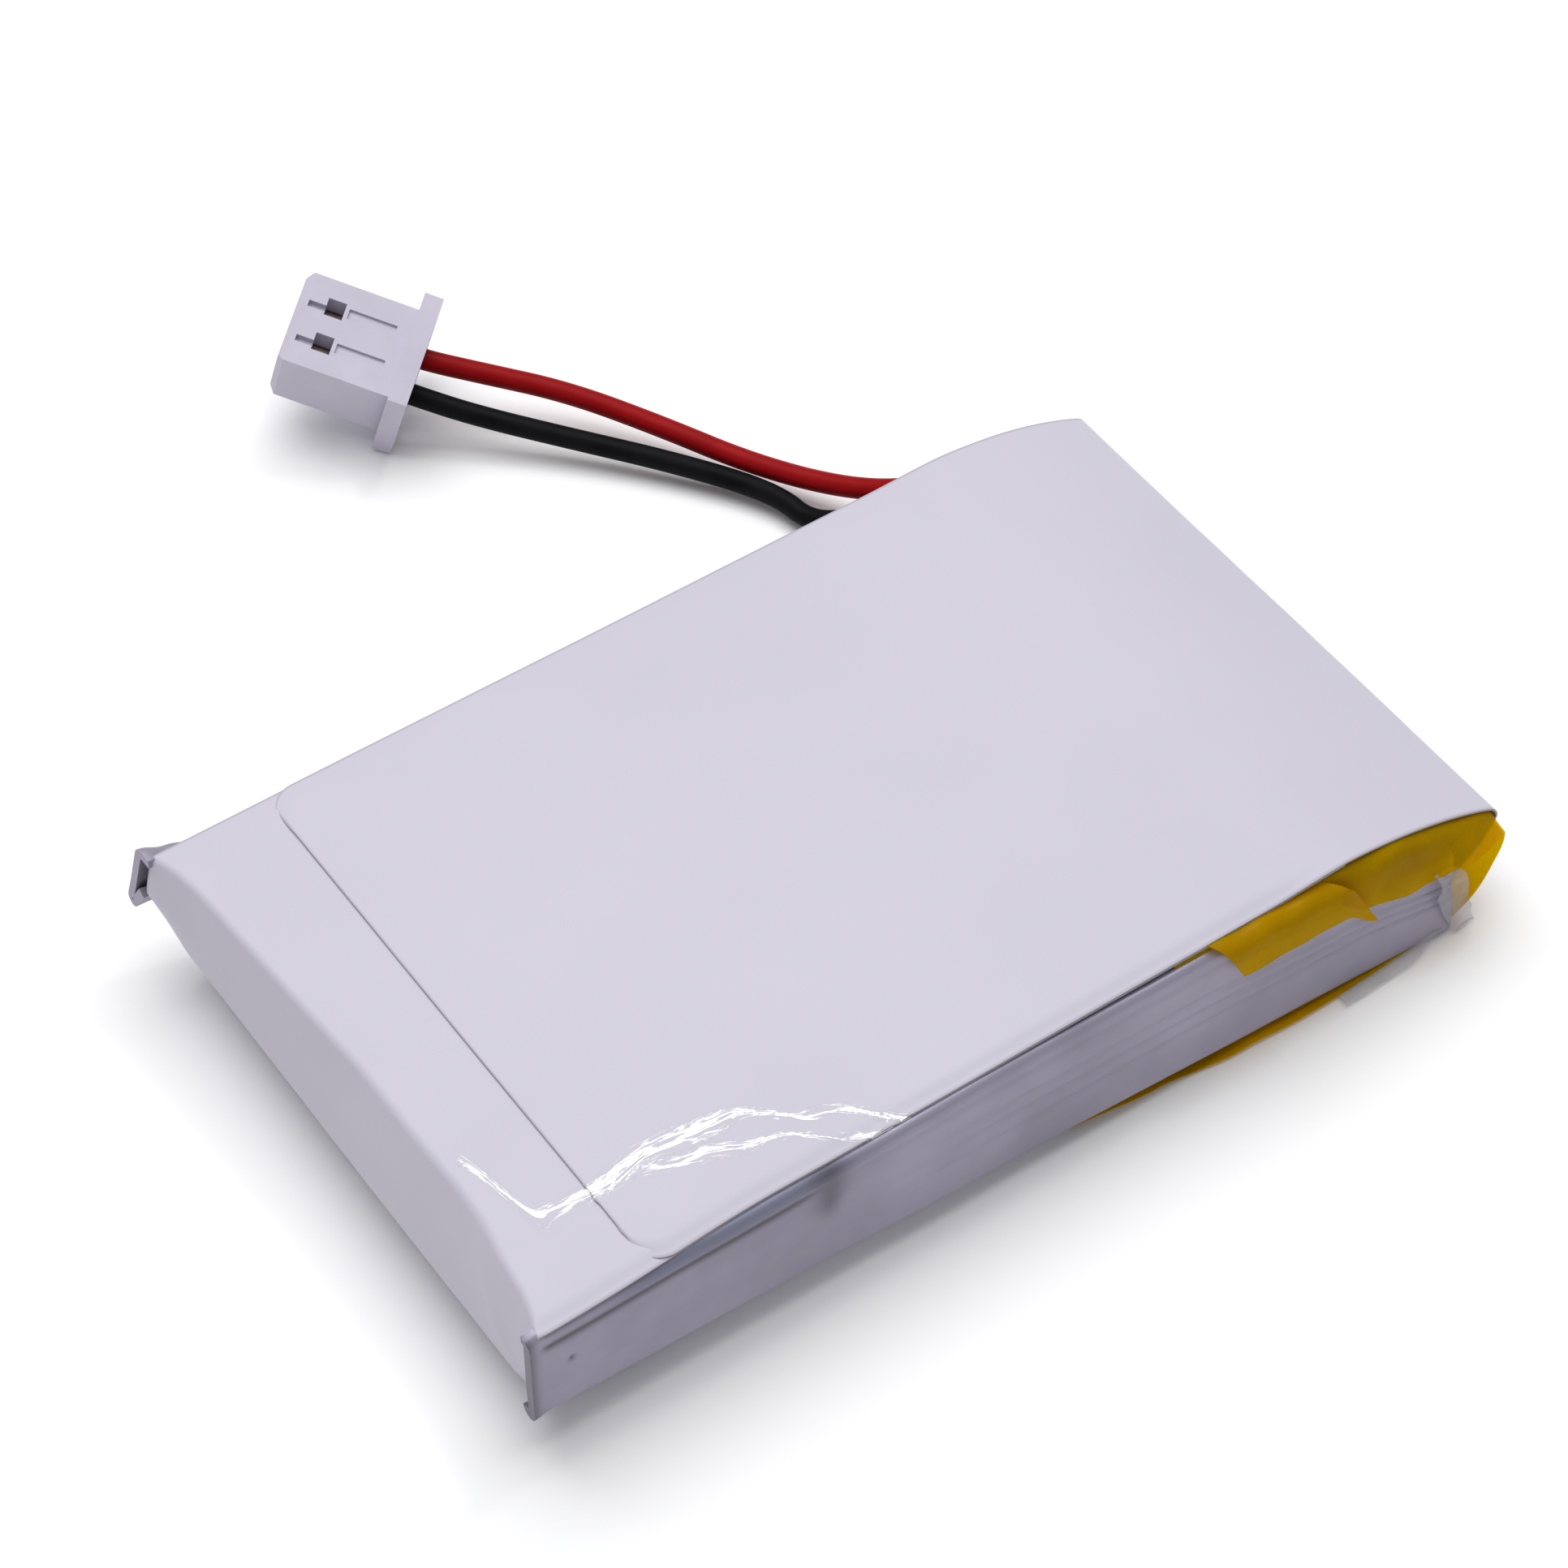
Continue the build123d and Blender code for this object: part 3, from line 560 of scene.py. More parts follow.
class PACK_OT_label(bpy.types.Operator):
    """Wrap the white film lengthwise round the cell and over its own end on top"""

    bl_idname = "pack.label"
    bl_label = "Label film"

    # Tables in millimetres. Place across the pack and shift along it of the fold end's top edge:
    TOP_EDGE = ((-14.6, -1.15), (-14.0, -0.85), (-13, -0.6), (-11, -0.35), (-9, 0.02), (-7, 0.08),
                (-4, 0), (0, 0), (4, -0.3), (8, -0.55), (12, -0.8), (13.4, -1.0), (14.6, -1.35))
    # distance from the ears and place across of the crinkled fold and its branch, and its width:
    FOLD = ((2.4, -6.3), (3.6, -10.4), (6.3, -10.55), (8.6, -10.2), (12.4, -10.6),
            (15.4, -12.5), (19, -14.9))
    BRANCH = ((7.5, -10.7), (10.3, -11.5), (12.6, -12.35), (16.9, -14.5))
    WIDTH = ((2.4, 0.34), (5, 0.3), (8, 0.42), (11, 0.5), (13.5, 0.24), (19, 0.22))
    # place across and height of the soft crease down the face.
    FACE_CREASE = ((-14.6, 3.4), (-9.0, 7.4))
    LEAN_START = 3.4 * MM                 # above this height the fold end follows TOP_EDGE
    NEAR_END, FAR_END = 1.6 * MM, 5.6 * MM                # over which that fades along the top
    EAR_BULGE, CORNER_BULGE, CREASE_BULGE = 0.35 * MM, 0.3 * MM, 0.09 * MM
    EDGE_BEND, EDGE_WIDTH = 0.9 * MM, 0.06 * MM           # drooping band and grey cut edge
    LONG_WAVE, SHORT_WAVE = (0.035 * MM, 17 * MM, 3), (0.006 * MM, 3 * MM, 4)

    def execute(self, context):
        sizes, outline = context.scene.pack_label, context.scene.pack_outline
        top, taper_x, belly, base_end = outline_values(outline)
        half_film = sizes.film / 2
        turn, lean = outline.taper_turn, outline.lean
        # The straight face runs from the heel's arc to the shoulder's, which ends level.
        face = (top - outline.shoulder * (1 - sin(lean))
                - outline.heel * (1 + sin(lean))) / cos(lean)
        # Columns are close together on the near side, where the film is crinkled.
        across = np.concatenate([np.linspace(0, 0.03, 6)[:-1], np.linspace(0.03, 0.42, 62)[:-1],
                                 np.linspace(0.42, 0.985, 34)[:-1], np.linspace(0.985, 1, 4)])
        start_x = EAR_X + sizes.overlap_start
        end_x = EAR_X + sizes.overlap_end

        def arc(radius, angle, rows):
            return ((radius - half_film) * angle, -angle, rows)

        corner_rows = start_x + sizes.corner * (1 - np.cos(np.linspace(0, pi / 2, 9)))[None].T
        x, z = walk((start_x + sizes.corner, top - half_film), 0.0, [
            (taper_x - start_x - sizes.corner, 0, 150),
            arc(outline.taper, turn, 34), arc(outline.nose, pi / 2 - turn, 8),
            arc(belly, pi / 2, 16), (base_end - FOLD_X - outline.heel, 0, 24),
            arc(outline.heel, pi / 2 + lean, 18), (face, 0, 12),
            arc(outline.shoulder, pi / 2 - lean, 12), (4.6 * MM, 0, 36),
            (end_x - FOLD_X - 6.2 * MM, 0, 24)])
        x = np.concatenate([corner_rows[:-1], x])
        z = np.concatenate([np.full((len(corner_rows) - 1, 1), top - half_film), z])
        run = distance_along(x, z)[:, None]

        # The strip's first end has rounded corners: its half width there is a quarter circle's.
        into = np.clip(1 - run / sizes.corner, 0, 1)
        trim = sizes.corner * (1 - np.sqrt(1 - into ** 2))
        on_top = smooth(z, top - 2.5 * MM, top - 0.5 * MM)
        from_ear = x - EAR_X
        bulge = self.EAR_BULGE * on_top * (1 - smooth(from_ear, 2 * MM, 12 * MM))
        near, far = -LABEL_HALF - bulge + trim, LABEL_HALF - trim
        y = near + (far - near) * across[None, :]
        x, z = np.broadcast_to(x, y.shape).copy(), np.broadcast_to(z, y.shape).copy()

        # The top edge of the fold end isn't straight, and its far corner bulges.
        shift = np.interp(y / MM, *np.transpose(self.TOP_EDGE)) * MM
        rise = np.clip((z - self.LEAN_START) / (top - self.LEAN_START), 0, 1) ** 1.3
        fold_side = 1 - smooth(x, FOLD_X + self.NEAR_END, FOLD_X + self.FAR_END)
        x += shift * rise * fold_side
        corner = smooth(y, 11 * MM, 14.6 * MM) * bell(z, 6.0 * MM, 1.5 * MM)
        x -= self.CORNER_BULGE * corner * fold_side

        middle = np.stack([x, y, z], axis=-1)
        outward = normals_of(middle)
        first_layer = 1 - smooth(run, taper_x - start_x - 1 * MM, taper_x - start_x + 3 * MM)
        lift = sizes.film * first_layer * np.ones_like(y)
        edge_near = np.abs(y - near)
        edge_far = np.abs(far - y)
        up = np.clip(outward[..., 2], 0, 1)
        free = 1 - smooth(from_ear, 37 * MM, 42 * MM)          # no cap under the label here
        lift -= sizes.droop * up * free * ((1 - smooth(edge_near, 0, self.EDGE_BEND))
                                           + 0.5 * (1 - smooth(edge_far, 0, self.EDGE_BEND)))
        long_wave, short_wave = (depth * ripple(middle, length, seed)
                                 for depth, length, seed in (self.LONG_WAVE, self.SHORT_WAVE))
        lift += long_wave + short_wave
        # Underneath, both long edges bend up on an arc: R - sqrt(R^2 - (R - distance)^2).
        down = np.clip(-outward[..., 2], 0, 1)
        round_edge = sizes.underside_round
        inside = np.clip(round_edge - np.minimum(edge_near, edge_far), 0, round_edge)
        lift -= down * (0.06 * MM + round_edge - np.sqrt(round_edge ** 2 - inside ** 2 * 0.98))
        # A soft crease runs down the face to the near corner.
        face = np.clip(-outward[..., 0], 0, 1) * (1 - smooth(y, -10 * MM, -8 * MM))
        crease_z = np.interp(y / MM, *np.transpose(self.FACE_CREASE)) * MM
        lift += self.CREASE_BULGE * face * bell(z, crease_z, 0.4 * MM)
        # The upper layer steps up where it starts, and is pressed down just behind its edge.
        crease, height, off = self.crease(x - EAR_X, y, up)
        lift += sizes.crease_height * height
        middle = middle + outward * lift[..., None]

        cut = np.minimum(np.minimum(edge_near, edge_far), np.broadcast_to(run, y.shape))
        edge = 0.5 * np.exp(-(cut / self.EDGE_WIDTH) ** 2) * np.ones_like(y)
        # The crease field is the mask of the painted highlight threads.
        piece = film("label", middle, sizes.film * 0.95, {
            "crease": crease, "edge": edge, "crease_run": x - EAR_X - 0.35 * y, "crease_off": off})
        settle(piece, materials()["white_film"], "white_film", "label_film")
        return {"FINISHED"}

    @classmethod
    def crease(cls, along, y, up):
        """Mask of the painted highlight, height and sideways distance of the crinkled fold near the
        near-side corner.

        Two crooked lines run from the fold end to the near edge. The mask is a band round each,
        exp(-(distance / width)^2), and the height is a pair of opposed small waves across it."""
        main = through_mm(along, *cls.FOLD) * MM
        branch = through_mm(along, *cls.BRANCH) * MM
        width = through_mm(along, *cls.WIDTH) * MM
        reach = smooth(along, 2.2 * MM, 2.8 * MM) * (1 - smooth(along, 18.4 * MM, 19.2 * MM))
        reach_branch = smooth(along, 7.4 * MM, 8.6 * MM) * (1 - smooth(along, 16.6 * MM, 17.6 * MM))
        slope = 1 + 1.1 * bell(along, 3.0 * MM, 0.7 * MM)
        off, off_branch = (y - main) / slope, y - branch
        band = bell(off, 0, width) * reach
        band_branch = bell(off_branch, 0, 0.75 * width) * reach_branch * 0.9
        mask = np.maximum(band, band_branch) * up
        crumple = ripple(np.stack([along, y * 2.5, 0 * y], axis=-1), 0.9 * MM, 11)
        height = (band * (0.6 + 0.5 * crumple) - 0.7 * bell(off, -1.1 * width, width) * reach
                  + band_branch * (0.5 + 0.5 * crumple)) * up
        return mask, height, np.where(band >= band_branch, off, off_branch)


class PACK_OT_side_seals(bpy.types.Operator):
    """Fold the sealed edges of the pouch up against its two sides"""

    bl_idname = "pack.side_seals"
    bl_label = "Side seals"

    # Distance from the ears and height of the top edge, in millimetres.
    TOP = ((0, 7.9), (0.9, 7.42), (9, 7.5), (20, 7.42), (33, 7.2), (41, 6.4), (47, 4.75))
    NEAR_EAR_TOP = ((0, 7.4), (1.5, 7.9))
    FAR_TOP = ((0, 7.6), (1.2, 7.3), (3, 6.8), (33, 6.7), (41, 5.4))
    FAR_LOW_RAISED = ((0, 1.65), (1.5, 1.5), (6, 0))
    PRESSED = ((0.34, 0.05), (0.5, 0.0), (0.66, -0.06))   # share of the wall, and its drift
    SEAM_RUN, LENGTH = 41 * MM, 47 * MM
    RETURN = 1.9 * MM                          # from the fold back up to the seam
    BEND, FOLD = 0.28 * MM, 0.17 * MM          # radii at the lip and at the bottom
    WALL_ROWS = 62                             # rows of the profile before its return
    DENT_X, DENT_Z, SMUDGE_X = 1.95 * MM, 5.1 * MM, 14.3 * MM

    def execute(self, context):
        for name, side in (("near_side_seal", -1), ("far_side_seal", 1)):
            self.build(context.scene.pack_seal, name, side)
        return {"FINISHED"}

    @classmethod
    def build(cls, sizes, name, side):
        """One seal: a hook-shaped profile carried along the pack. The profile is a lip leaning
        inwards, a bend, the wall, a tight fold at the bottom and a return up to the seam."""
        end_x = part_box(name)[1].x
        x = np.concatenate([np.linspace(EAR_X, EAR_X + 3 * MM, 30)[:-1],
                            np.linspace(EAR_X + 3 * MM, end_x, 150)])
        along = x - EAR_X
        near = side < 0
        top = through_mm(along, *cls.TOP) * MM
        low = sizes.low - sizes.drop * along / cls.LENGTH
        lip = sizes.lip * (1 - 0.55 * smooth(along, 14 * MM, 30 * MM))
        back = cls.RETURN * np.ones_like(x)
        if near:
            top = np.minimum(top, through_mm(along, *cls.NEAR_EAR_TOP) * MM)
            lip = lip * (0.2 + 0.8 * smooth(along, 0.3 * MM, 1.6 * MM))
            back = back * (0.1 + 0.9 * smooth(along, 0.5 * MM, 1.5 * MM))
        else:
            top = through_mm(along, *cls.FAR_TOP) * MM
            low = low + through_mm(along, *cls.FAR_LOW_RAISED) * MM
            back = 0.6 * back
        bend, fold = cls.BEND, cls.FOLD
        wall = np.maximum(top - low - bend - fold, 0.4 * MM)
        inward, z = walk((lip + bend, top), pi, [
            (lip, 0, 5), (bend * pi / 2, pi / 2, 6), (wall, 0, 44),
            (fold * radians(160), radians(160), 8), (back, 0, 9)])
        inward, z = inward.T, z.T
        share = np.clip((top[:, None] - z) / (top - low)[:, None], 0, 1)
        outer = (np.arange(z.shape[1]) < cls.WALL_ROWS)[None, :]
        lean = sizes.flare * (along / cls.SEAM_RUN)[:, None] ** 1.5 * share
        if not near:
            lean = (0.45 + 0.7 * share) * MM * (1 - smooth(along, 0, 4 * MM))[:, None]
        # Pressed lines along the wall, a hem line under the lip and a dent by the ear.
        height = share
        pressed = sum(bell(height, place + drift * smooth(along, 20 * MM, 45 * MM)[:, None], 0.028)
                      for place, drift in cls.PRESSED)
        pressed = pressed * through_mm(along, (14, 0.1), (26, 1), (47, 1.3))[:, None]
        hem = bell(z, (top - 0.7 * MM)[:, None], 0.24 * MM) * through_mm(
            along, (0.3, 0), (1, 1), (12, 1), (16, 0.15))[:, None]
        dent = bell(along, cls.DENT_X, 0.17 * MM)[:, None] * bell(z, cls.DENT_Z, 0.16 * MM) * near
        depth = sizes.wrinkle * (pressed + 0.9 * hem) + 0.2 * MM * dent
        place = np.stack([x[:, None] * 0.25 + 0 * z, inward, z], axis=-1)
        depth = depth + 0.03 * MM * ripple(place, 2.2 * MM, 21 + side)
        inward = inward - lean + np.where(outer, depth, 0)
        thickness = through_mm(along, (0, sizes.ear_thickness / MM),
                               (0.9, sizes.thickness / MM)) * MM
        inward = inward + sizes.thickness / 2
        splay = -0.4 * MM * (1 - smooth(along, 0, 1.2 * MM))[:, None] * share * (not near)
        middle = np.stack([x[:, None] + splay, side * (SEAL_OUTER - inward), z], axis=-1)
        # Smear mask: a real grey smudge on the near wall at SMUDGE_X, plus painted shade in the
        # dent, as a dark line under the hem and at the ear's corner.
        spread = (0.45 + 0.5 * smooth(z, 4.5 * MM, 7.0 * MM)) * MM
        smear = 0.62 * bell(along[:, None], cls.SMUDGE_X, spread) * near
        smear = smear * smooth(z, 4.2 * MM, 5.8 * MM)
        smear = np.maximum(smear, 0.9 * dent)
        smear = np.maximum(smear, 0.8 * hem * near)
        smear = np.maximum(smear, 0.6 * bell(along, 0, 0.32 * MM)[:, None] * near)
        # Painted bluish reflection along the near seal's top lip.
        lip_reflection_mask = smooth(z, (top - 0.42 * MM)[:, None], (top - 0.3 * MM)[:, None]) * outer
        lip_reflection_mask = lip_reflection_mask * through_mm(along, (3, 0), (6, 1), (13.2, 1),
                                      (16, 0.3), (26, 0.15))[:, None] * near
        fields = {"smear": smear, "lip": lip_reflection_mask}
        if not near:
            middle = middle[:, ::-1]
            fields = {field: values[:, ::-1] for field, values in fields.items()}
        piece = film(name + "_foil", middle, thickness[:, None], fields, radians(65))
        settle(piece, materials()["pouch_foil"], "pouch_foil", name)


class PACK_OT_amber_tape(bpy.types.Operator):
    """Cap the terminal end with amber tape and hold the near side seal down with a strip"""

    bl_idname = "pack.amber_tape"
    bl_label = "Amber tape"

    # Distance past the nose in millimetres, with the film's reach past the hinge line in
    # millimetres, its bend in degrees and the bend's radius in millimetres.
    OVERHANG = ((-18, 0.9), (-11.5, 1.0), (-8.2, 3.1), (-5.6, 3.3), (-2.4, 2.3), (0, 1.25),
                (6, 1.2), (13.5, 1.42), (17, 1.3), (21, 0.85), (26, 0.3))
    BEND = ((-11, 84), (-5, 80), (-2, 48), (0, 10), (5, 5), (12, 3))
    RADIUS = ((-11, 0.3), (-8, 0.9), (0, 0.9))
    CAP_START, HINGE, FAR_REACH = 7.0 * MM, 14.25 * MM, 0.45 * MM
    STRIP_COLUMNS = 46
    STRIP_DROP = ((0, 1.15), (0.45, 1.05), (0.75, 1.0), (1, 2.1))
    STRIP_SEAM, STRIP_OVER, STRIP_BELOW = 14.15 * MM, 0.62 * MM, 0.3 * MM

    def execute(self, context):
        sizes, outline = context.scene.pack_tape, context.scene.pack_outline
        self.cap(sizes, outline)
        self.strip(sizes)
        return {"FINISHED"}

    def cap(self, sizes, outline):
        """C-shaped cap: the side outline carried across the pack. Past a hinge line beside the
        pouch the film bends inwards on a small radius and goes on straight, so it hangs over
        the side on top, stands out at the nose and lies flat underneath."""
        top, taper_x, belly, base_end = outline_values(outline)
        turn = outline.taper_turn
        start_x, end_x = self.CAP_START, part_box("terminal_cap_tape")[0].x

        def arc(radius, angle, rows):
            return ((radius - sizes.inset) * angle, -angle, rows)

        x, z = walk((start_x, top - sizes.inset), 0.0, [
            (taper_x - start_x, 0, 50), arc(outline.taper, turn, 50),
            arc(outline.nose, pi / 2 - turn, 14), arc(belly, pi / 2, 40),
            (base_end - end_x, 0, 40)])
        steps = np.gradient(np.stack([x[:, 0], z[:, 0]]), axis=1)
        along_x, along_z = steps / np.hypot(*steps)
        run = distance_along(x, z)
        nose = run[np.argmax(x[:, 0])]
        before = run - nose            # along the outline, 0 at the nose
        overhang = through_mm(before, *self.OVERHANG) * MM
        fold = through_mm(before, *self.BEND) * pi / 180
        radius = through_mm(before, *self.RADIUS) * MM
        hinge = self.HINGE
        out = overhang[:, None] * np.linspace(1, 0, 30)[None, :]
        bent = np.minimum(out, (radius * fold)[:, None])
        past = out - bent
        around = bent / radius[:, None]
        y_out = radius[:, None] * np.sin(around) + past * np.cos(fold)[:, None]
        sink = radius[:, None] * (1 - np.cos(around)) + past * np.sin(fold)[:, None]
        flat = np.linspace(-hinge, hinge + self.FAR_REACH, 26)[1:]
        y = np.concatenate([-hinge - y_out, np.broadcast_to(flat, (len(run), len(flat)))], axis=1)
        sink = np.concatenate([sink, np.zeros((len(run), len(flat)))], axis=1)
        middle = np.stack([x + along_z[:, None] * sink, y, z - along_x[:, None] * sink], axis=-1)
        buckle = smooth(-y, 13.6 * MM, 15 * MM) * 0.07 * MM * ripple(middle, 2.4 * MM, 31)
        middle = middle + normals_of(middle) * buckle[..., None]
        piece = film("amber_cap", middle, sizes.film)
        settle(piece, materials()["amber_tape"], "amber_tape", "terminal_cap_tape")

    def strip(self, sizes):
        """Short strip over the seal's top edge: flat, a bend, then down the wall. Its two ends
        are cut aslant, so each end's place runs linearly with the distance down the strip."""
        share = np.linspace(0, 1, self.STRIP_COLUMNS)
        down = through(share, *self.STRIP_DROP) * MM
        start = (LABEL_HIGH.z - self.STRIP_BELOW) * np.ones_like(share)
        over, turn = self.STRIP_OVER, radians(84)
        out, z = walk((np.zeros_like(share), start), 0.0, [
            (over, 0, 8), (over * turn, -turn, 12), (down + 0.35 * MM, 0, 16)])
        step = np.linspace(0, 1, z.shape[0])[:, None]
        left, right = 33.4 + 1.75 * step, 39.5 + 2.9 * step
        x = EAR_X + (left + (right - left) * share) * MM
        fall = -0.035 * (x - EAR_X - 33 * MM)
        middle = np.stack([x, -(self.STRIP_SEAM + out), z + fall], axis=-1)
        middle = middle + normals_of(middle) * (0.05 * MM * ripple(middle, 2.2 * MM, 37))[..., None]
        piece = film("amber_strip", middle, sizes.film)
        settle(piece, materials()["amber_tape"], "amber_tape", "hold_down_tape")


class PACK_OT_clear_tape(bpy.types.Operator):
    """Lay the two crinkled pieces of clear tape at the terminal end"""

    bl_idname = "pack.clear_tape"
    bl_label = "Clear tape"

    def execute(self, context):
        film_thick = context.scene.pack_tape.film
        down = np.linspace(0, 1, 40)[:, None]
        right = np.linspace(0, 1, 26)[None, :]

        # Seal end: a ragged flap between two crooked edges, standing off the wall.
        left_x = through(down, (0, 45.5), (0.35, 46.1), (1, 47.2))
        right_x = through(down, (0, 46.8), (0.5, 48.1), (1, 48.5))
        x = (EAR_X / MM + left_x + (right_x - left_x) * right) * MM
        z = (through(down, (0, 5.0), (1, 0.2)) - 0.5 * right * (1 - down)) * MM
        y = (-15.62 + 0.5 * right * (1 - down)) * MM + 0 * x
        middle = np.stack([x, y, z], axis=-1)
        self.lay("clear_flap", middle, film_thick, 0.13, 41, "seal_end_tape")

        # Underside: a corner that sticks out from under the near seal.
        front = -through(down, (0, 16.25), (0.6, 16.15), (1, 15.6))
        y = (front + (-13.4 - front) * right) * MM
        x = (EAR_X / MM + 40.75 + 5.9 * down + 0.3 * right * (1 - down)) * MM + 0 * y
        z = (0.22 + 0.35 * smooth(down, 0.5, 1) + 0.1 * right) * MM + 0 * y
        self.lay("clear_corner", np.stack([x, y, z], axis=-1), film_thick, 0.07, 43,
                 "underside_tape")
        return {"FINISHED"}

    @staticmethod
    def lay(name, middle, thickness, crinkle, seed, node):
        """One piece of clear tape: its flat grid pushed along its normals by seeded ripples."""
        wave = ripple(middle, 1.1 * MM, seed) + 0.4 * ripple(middle, 0.45 * MM, seed + 1)
        middle = middle + normals_of(middle) * (crinkle * MM * wave)[..., None]
        settle(film(name, middle, thickness), materials()["clear_tape"], "clear_tape", node)


class PACK_OT_leads(bpy.types.Operator):
    """Run the red and the black lead from the board to the plug"""

    bl_idname = "pack.leads"
    bl_label = "Leads"

    # Control points in millimetres, the same as in the CAD source.
    ROUTES = {
        "positive_lead": ((20.1, 11.2, 5.155), (20.1, 13.6, 5.155), (19.1, 16.15, 4.05),
                          (17.3, 17.9, 2.5), (15.35, 20.7, 1.5), (13.0, 24.7, 1.15),
                          (10.6, 29.2, 1.5), (8.0, 33.1, 2.05), (4.95, 36.05, 2.68),
                          (2.88, 37.82, 3.27), (2.05, 38.68, 3.63)),
        "negative_lead": ((18.45, 11.2, 5.155), (18.45, 13.6, 5.155), (17.25, 16.25, 3.85),
                          (15.25, 18.0, 2.05), (13.35, 20.05, 0.7), (12.95, 22.75, 0.9),
                          (10.05, 27.05, 1.05), (6.7, 31.1, 1.3), (3.5, 34.4, 1.98),
                          (1.38, 36.57, 2.81), (0.55, 37.43, 3.17)),
    }

    def execute(self, context):
        diameter = context.scene.pack_lead.diameter
        ends = {"positive_lead": ("red_jacket", 0.0345, ["plug_housing", "positive_contact"]),
                "negative_lead": ("black_jacket", 0.0338, ["negative_contact"])}
        for name, (slot, length, pieces) in ends.items():
            curve = bpy.data.curves.new(name + "_wire", "CURVE")
            curve.dimensions = "3D"
            curve.bevel_depth = diameter / 2
            curve.bevel_resolution = 8
            curve.resolution_u = 24
            curve.use_fill_caps = True
            spline = curve.splines.new("NURBS")
            route = self.ROUTES[name]
            spline.points.add(len(route) - 1)
            spline.points.foreach_set("co", [c for point in route
                                             for c in (*(v * MM for v in point), 1.0)])
            spline.order_u = 3
            spline.use_endpoint_u = True
            lead = bpy.data.objects.new(name + "_wire", curve)
            context.scene.collection.objects.link(lead)
            settle(lead, materials()[slot], slot, name)
        return {"FINISHED"}


class PACK_OT_cad_finishes(bpy.types.Operator):
    """Give the plug, the board, the winding and the pouch leaves their finishes"""

    bl_idname = "pack.cad_finishes"
    bl_label = "Plug, board and cell"

    SLOTS = {
        "pouch_foil": ("pouch_upper_leaf", "pouch_lower_leaf", "terminal_seal"),
        "separator_film": ("separator",),
        "copper_foil": ("anode_foil",),
        "aluminium_foil": ("cathode_foil",),
        "green_tape": ("winding_tape",),
        "aluminium_tab": ("positive_tab",),
        "nickel_tab": ("negative_tab",),
        "seal_film": ("positive_tab_film", "negative_tab_film"),
        "pad_paper": ("board_pad",),
        "board_green": ("protection_board",),
        "chip_black": ("protection_chip", "switch_transistors"),
        "resistor_black": ("chip_resistors",),
        "capacitor_tan": ("chip_capacitors",),
        "solder": ("solder_joints",),
        "white_nylon": ("plug_housing",),
        "tinned_contact": ("positive_contact", "negative_contact"),
    }

    def execute(self, context):
        for slot, names in self.SLOTS.items():
            for name in names:
                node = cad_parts[name]
                node.data.materials.clear()
                node.data.materials.append(materials()[slot])
        return {"FINISHED"}


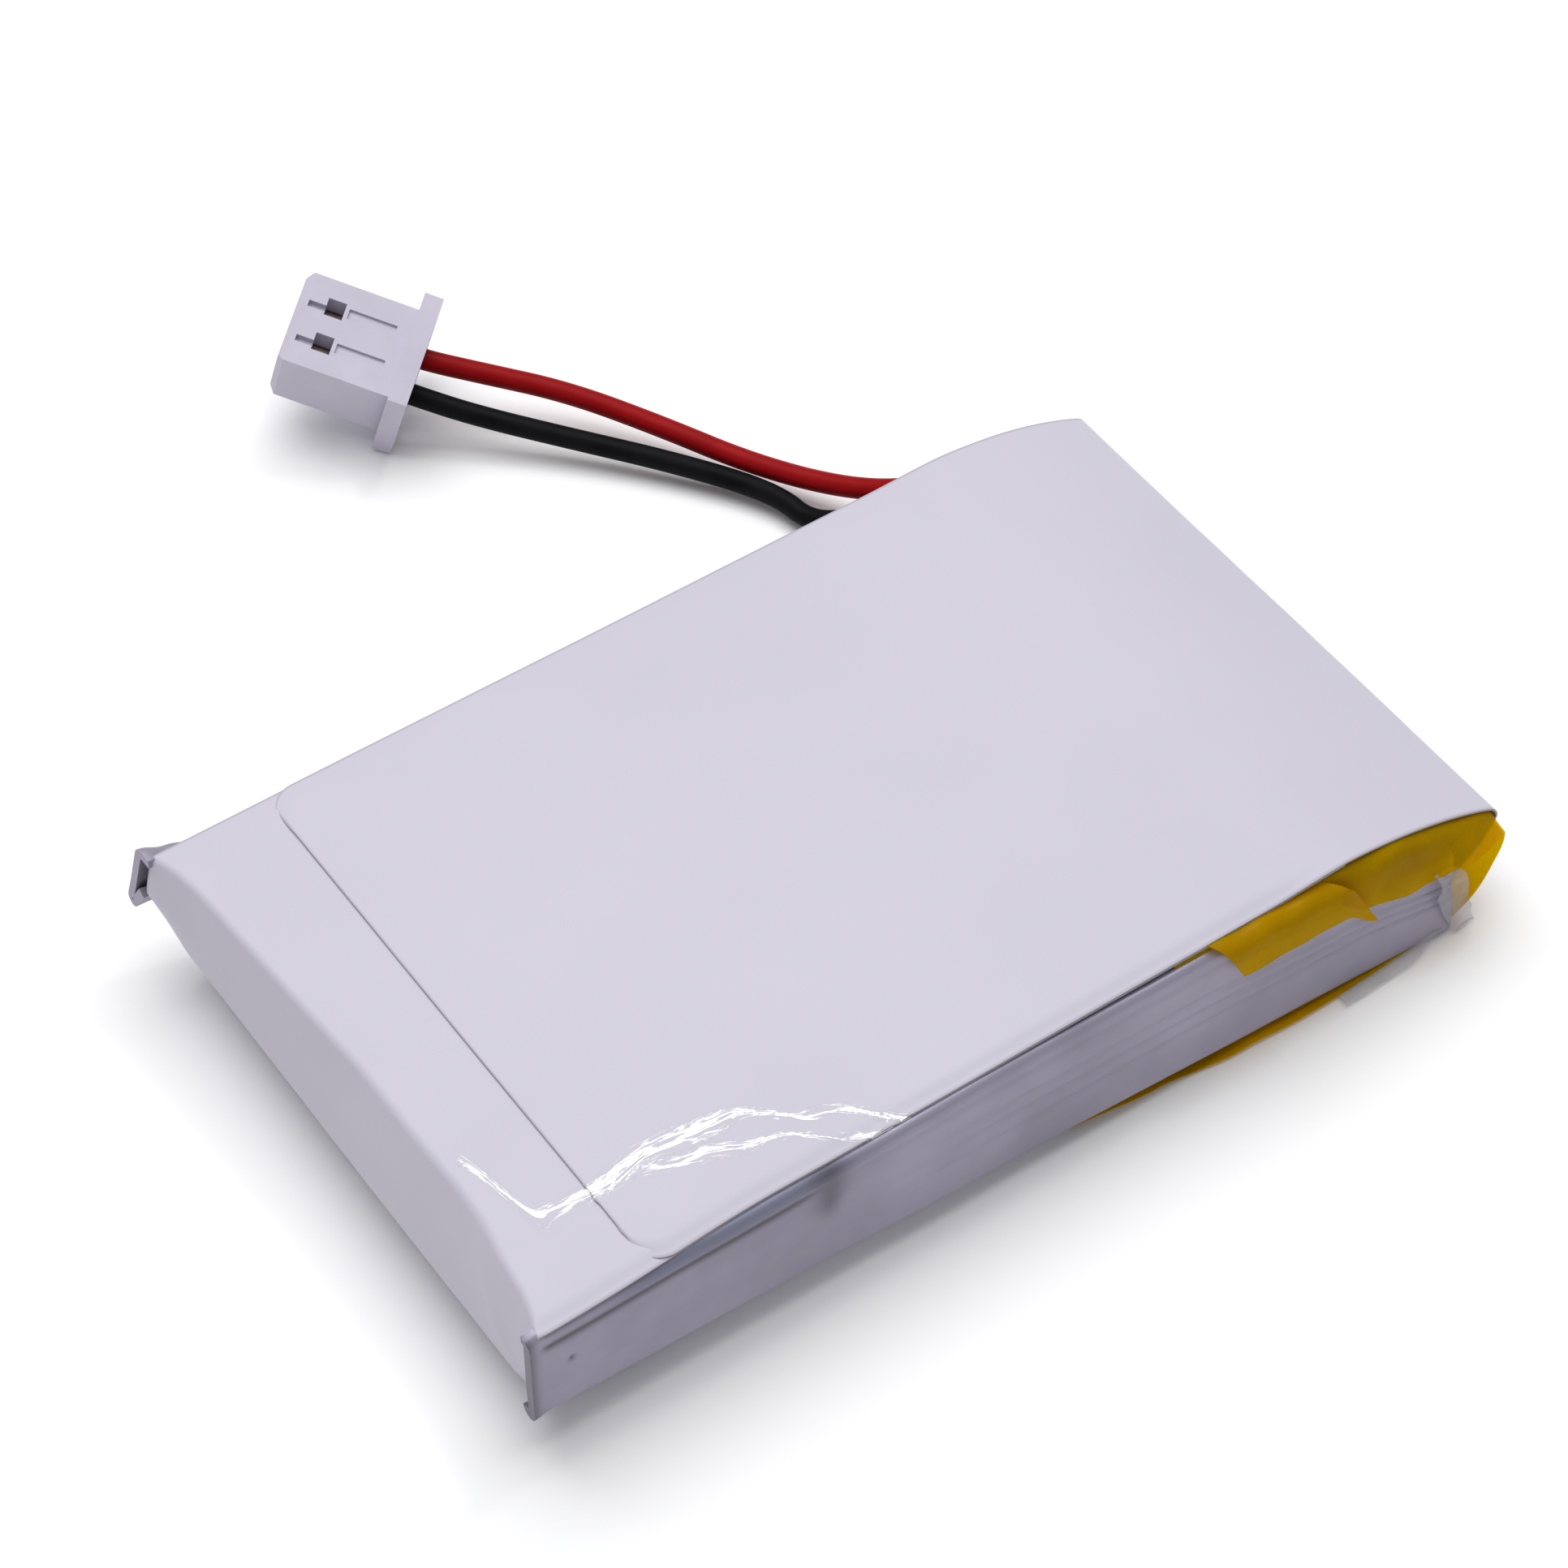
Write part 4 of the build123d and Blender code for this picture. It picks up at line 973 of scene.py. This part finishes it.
class PACK_OT_studio(bpy.types.Operator):
    """Set up the pale floor, the soft light and the camera"""

    bl_idname = "pack.studio"
    bl_label = "Studio"

    AIM = (1.27 * MM, 5.32 * MM, 4.0 * MM)               # the point that the camera looks at
    SOFTBOX_PLACE, SOFTBOX_WIDTH = (0.03, 0.12, 0.5), 0.5
    GLINT_PLACE, GLINT_WIDTH, GLINT_POWER = (0.2, 0.05, 0.42), 0.05, 0.15
    SURROUND = (0.97, 0.98, 1.0, 1.0)
    FLOOR_REACH, FLOOR_LEVEL, FLOOR_SIDE = 3.0, -0.02 * MM, 9
    FLOOR_COLOURS = (0.93, 0.93, 0.935), (0.92, 0.92, 0.925)

    def execute(self, context):
        studio = context.scene.pack_studio
        self.camera(context, studio)
        self.lights(context, studio)
        self.floor()
        return {"FINISHED"}

    def camera(self, context, studio):
        """Camera on a sphere round the point it looks at."""
        aim = Vector(self.AIM)
        away = Vector((-sin(studio.azimuth) * cos(studio.elevation),
                       -cos(studio.azimuth) * cos(studio.elevation), sin(studio.elevation)))
        data = bpy.data.cameras.new("camera")
        data.sensor_width = 36.0
        data.lens = studio.lens
        data.clip_start = 0.005
        camera = bpy.data.objects.new("camera", data)
        camera.location = aim + away * studio.distance
        camera.rotation_euler = (-away).to_track_quat("-Z", "Y").to_euler()
        context.scene.collection.objects.link(camera)
        context.scene.camera = camera

    def lights(self, context, studio):
        """A large softbox overhead, a small one behind for the glints, and an even surround."""
        for name, place, power, width in (
                ("softbox", self.SOFTBOX_PLACE, studio.overhead, self.SOFTBOX_WIDTH),
                ("glint", self.GLINT_PLACE, self.GLINT_POWER, self.GLINT_WIDTH)):
            data = bpy.data.lights.new(name, "AREA")
            data.energy = power
            data.size = width
            lamp = bpy.data.objects.new(name, data)
            lamp.location = place
            lamp.rotation_euler = Vector(place).to_track_quat("Z", "Y").to_euler()
            context.scene.collection.objects.link(lamp)
        world = bpy.data.worlds.new("surround")
        world.use_nodes = True
        even_light = world.node_tree.nodes["Background"].inputs
        even_light["Color"].default_value = self.SURROUND
        even_light["Strength"].default_value = studio.sky
        context.scene.world = world
        context.scene.view_settings.view_transform = "Standard"

    def floor(self):
        """Plain pale floor just under the lowest point."""
        side = np.linspace(-self.FLOOR_REACH, self.FLOOR_REACH, self.FLOOR_SIDE)
        x, y = np.meshgrid(side, side, indexing="ij")
        points = np.stack([x, y, np.full_like(x, self.FLOOR_LEVEL)], axis=-1)
        numbers = np.arange(x.size).reshape(x.shape)
        floor = new_piece("floor", points, quads(numbers), {}, pi)
        floor.data.materials.append(finish("pale_floor", *self.FLOOR_COLOURS, patches=3,
                                           roughness=0.7, grain=500, bump=0.0)[0])


class PACK_PT_panel(bpy.types.Panel):
    """Sidebar panel with the sizes, the colours and a button for each piece"""

    bl_idname = "PACK_PT_panel"
    bl_label = "Pouch battery pack"
    bl_space_type = "VIEW_3D"
    bl_region_type = "UI"
    bl_category = "Battery"

    def draw(self, context):
        for setting, group in SETTINGS.items():
            box = self.layout.box()
            box.label(text=group.__doc__)
            for key in group.__annotations__:
                box.prop(getattr(context.scene, setting), key)
        for operator in OPERATORS:
            self.layout.operator(operator.bl_idname)


OPERATORS = (PACK_OT_studio, PACK_OT_leads, PACK_OT_label, PACK_OT_side_seals,
             PACK_OT_amber_tape, PACK_OT_clear_tape, PACK_OT_cad_finishes)
CLASSES = (*SETTINGS.values(), *OPERATORS, PACK_PT_panel)


def register():
    for piece in CLASSES:
        bpy.utils.register_class(piece)
    for setting, group in SETTINGS.items():
        setattr(bpy.types.Scene, setting, PointerProperty(type=group))


def unregister():
    for setting in SETTINGS:
        delattr(bpy.types.Scene, setting)
    for piece in reversed(CLASSES):
        bpy.utils.unregister_class(piece)


def main():
    register()
    bpy.ops.pack.studio()
    bpy.ops.pack.leads()
    bpy.ops.pack.label()
    bpy.ops.pack.side_seals()
    bpy.ops.pack.amber_tape()
    bpy.ops.pack.clear_tape()
    bpy.ops.pack.cad_finishes()
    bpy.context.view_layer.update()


if __name__ == "__main__":
    main()
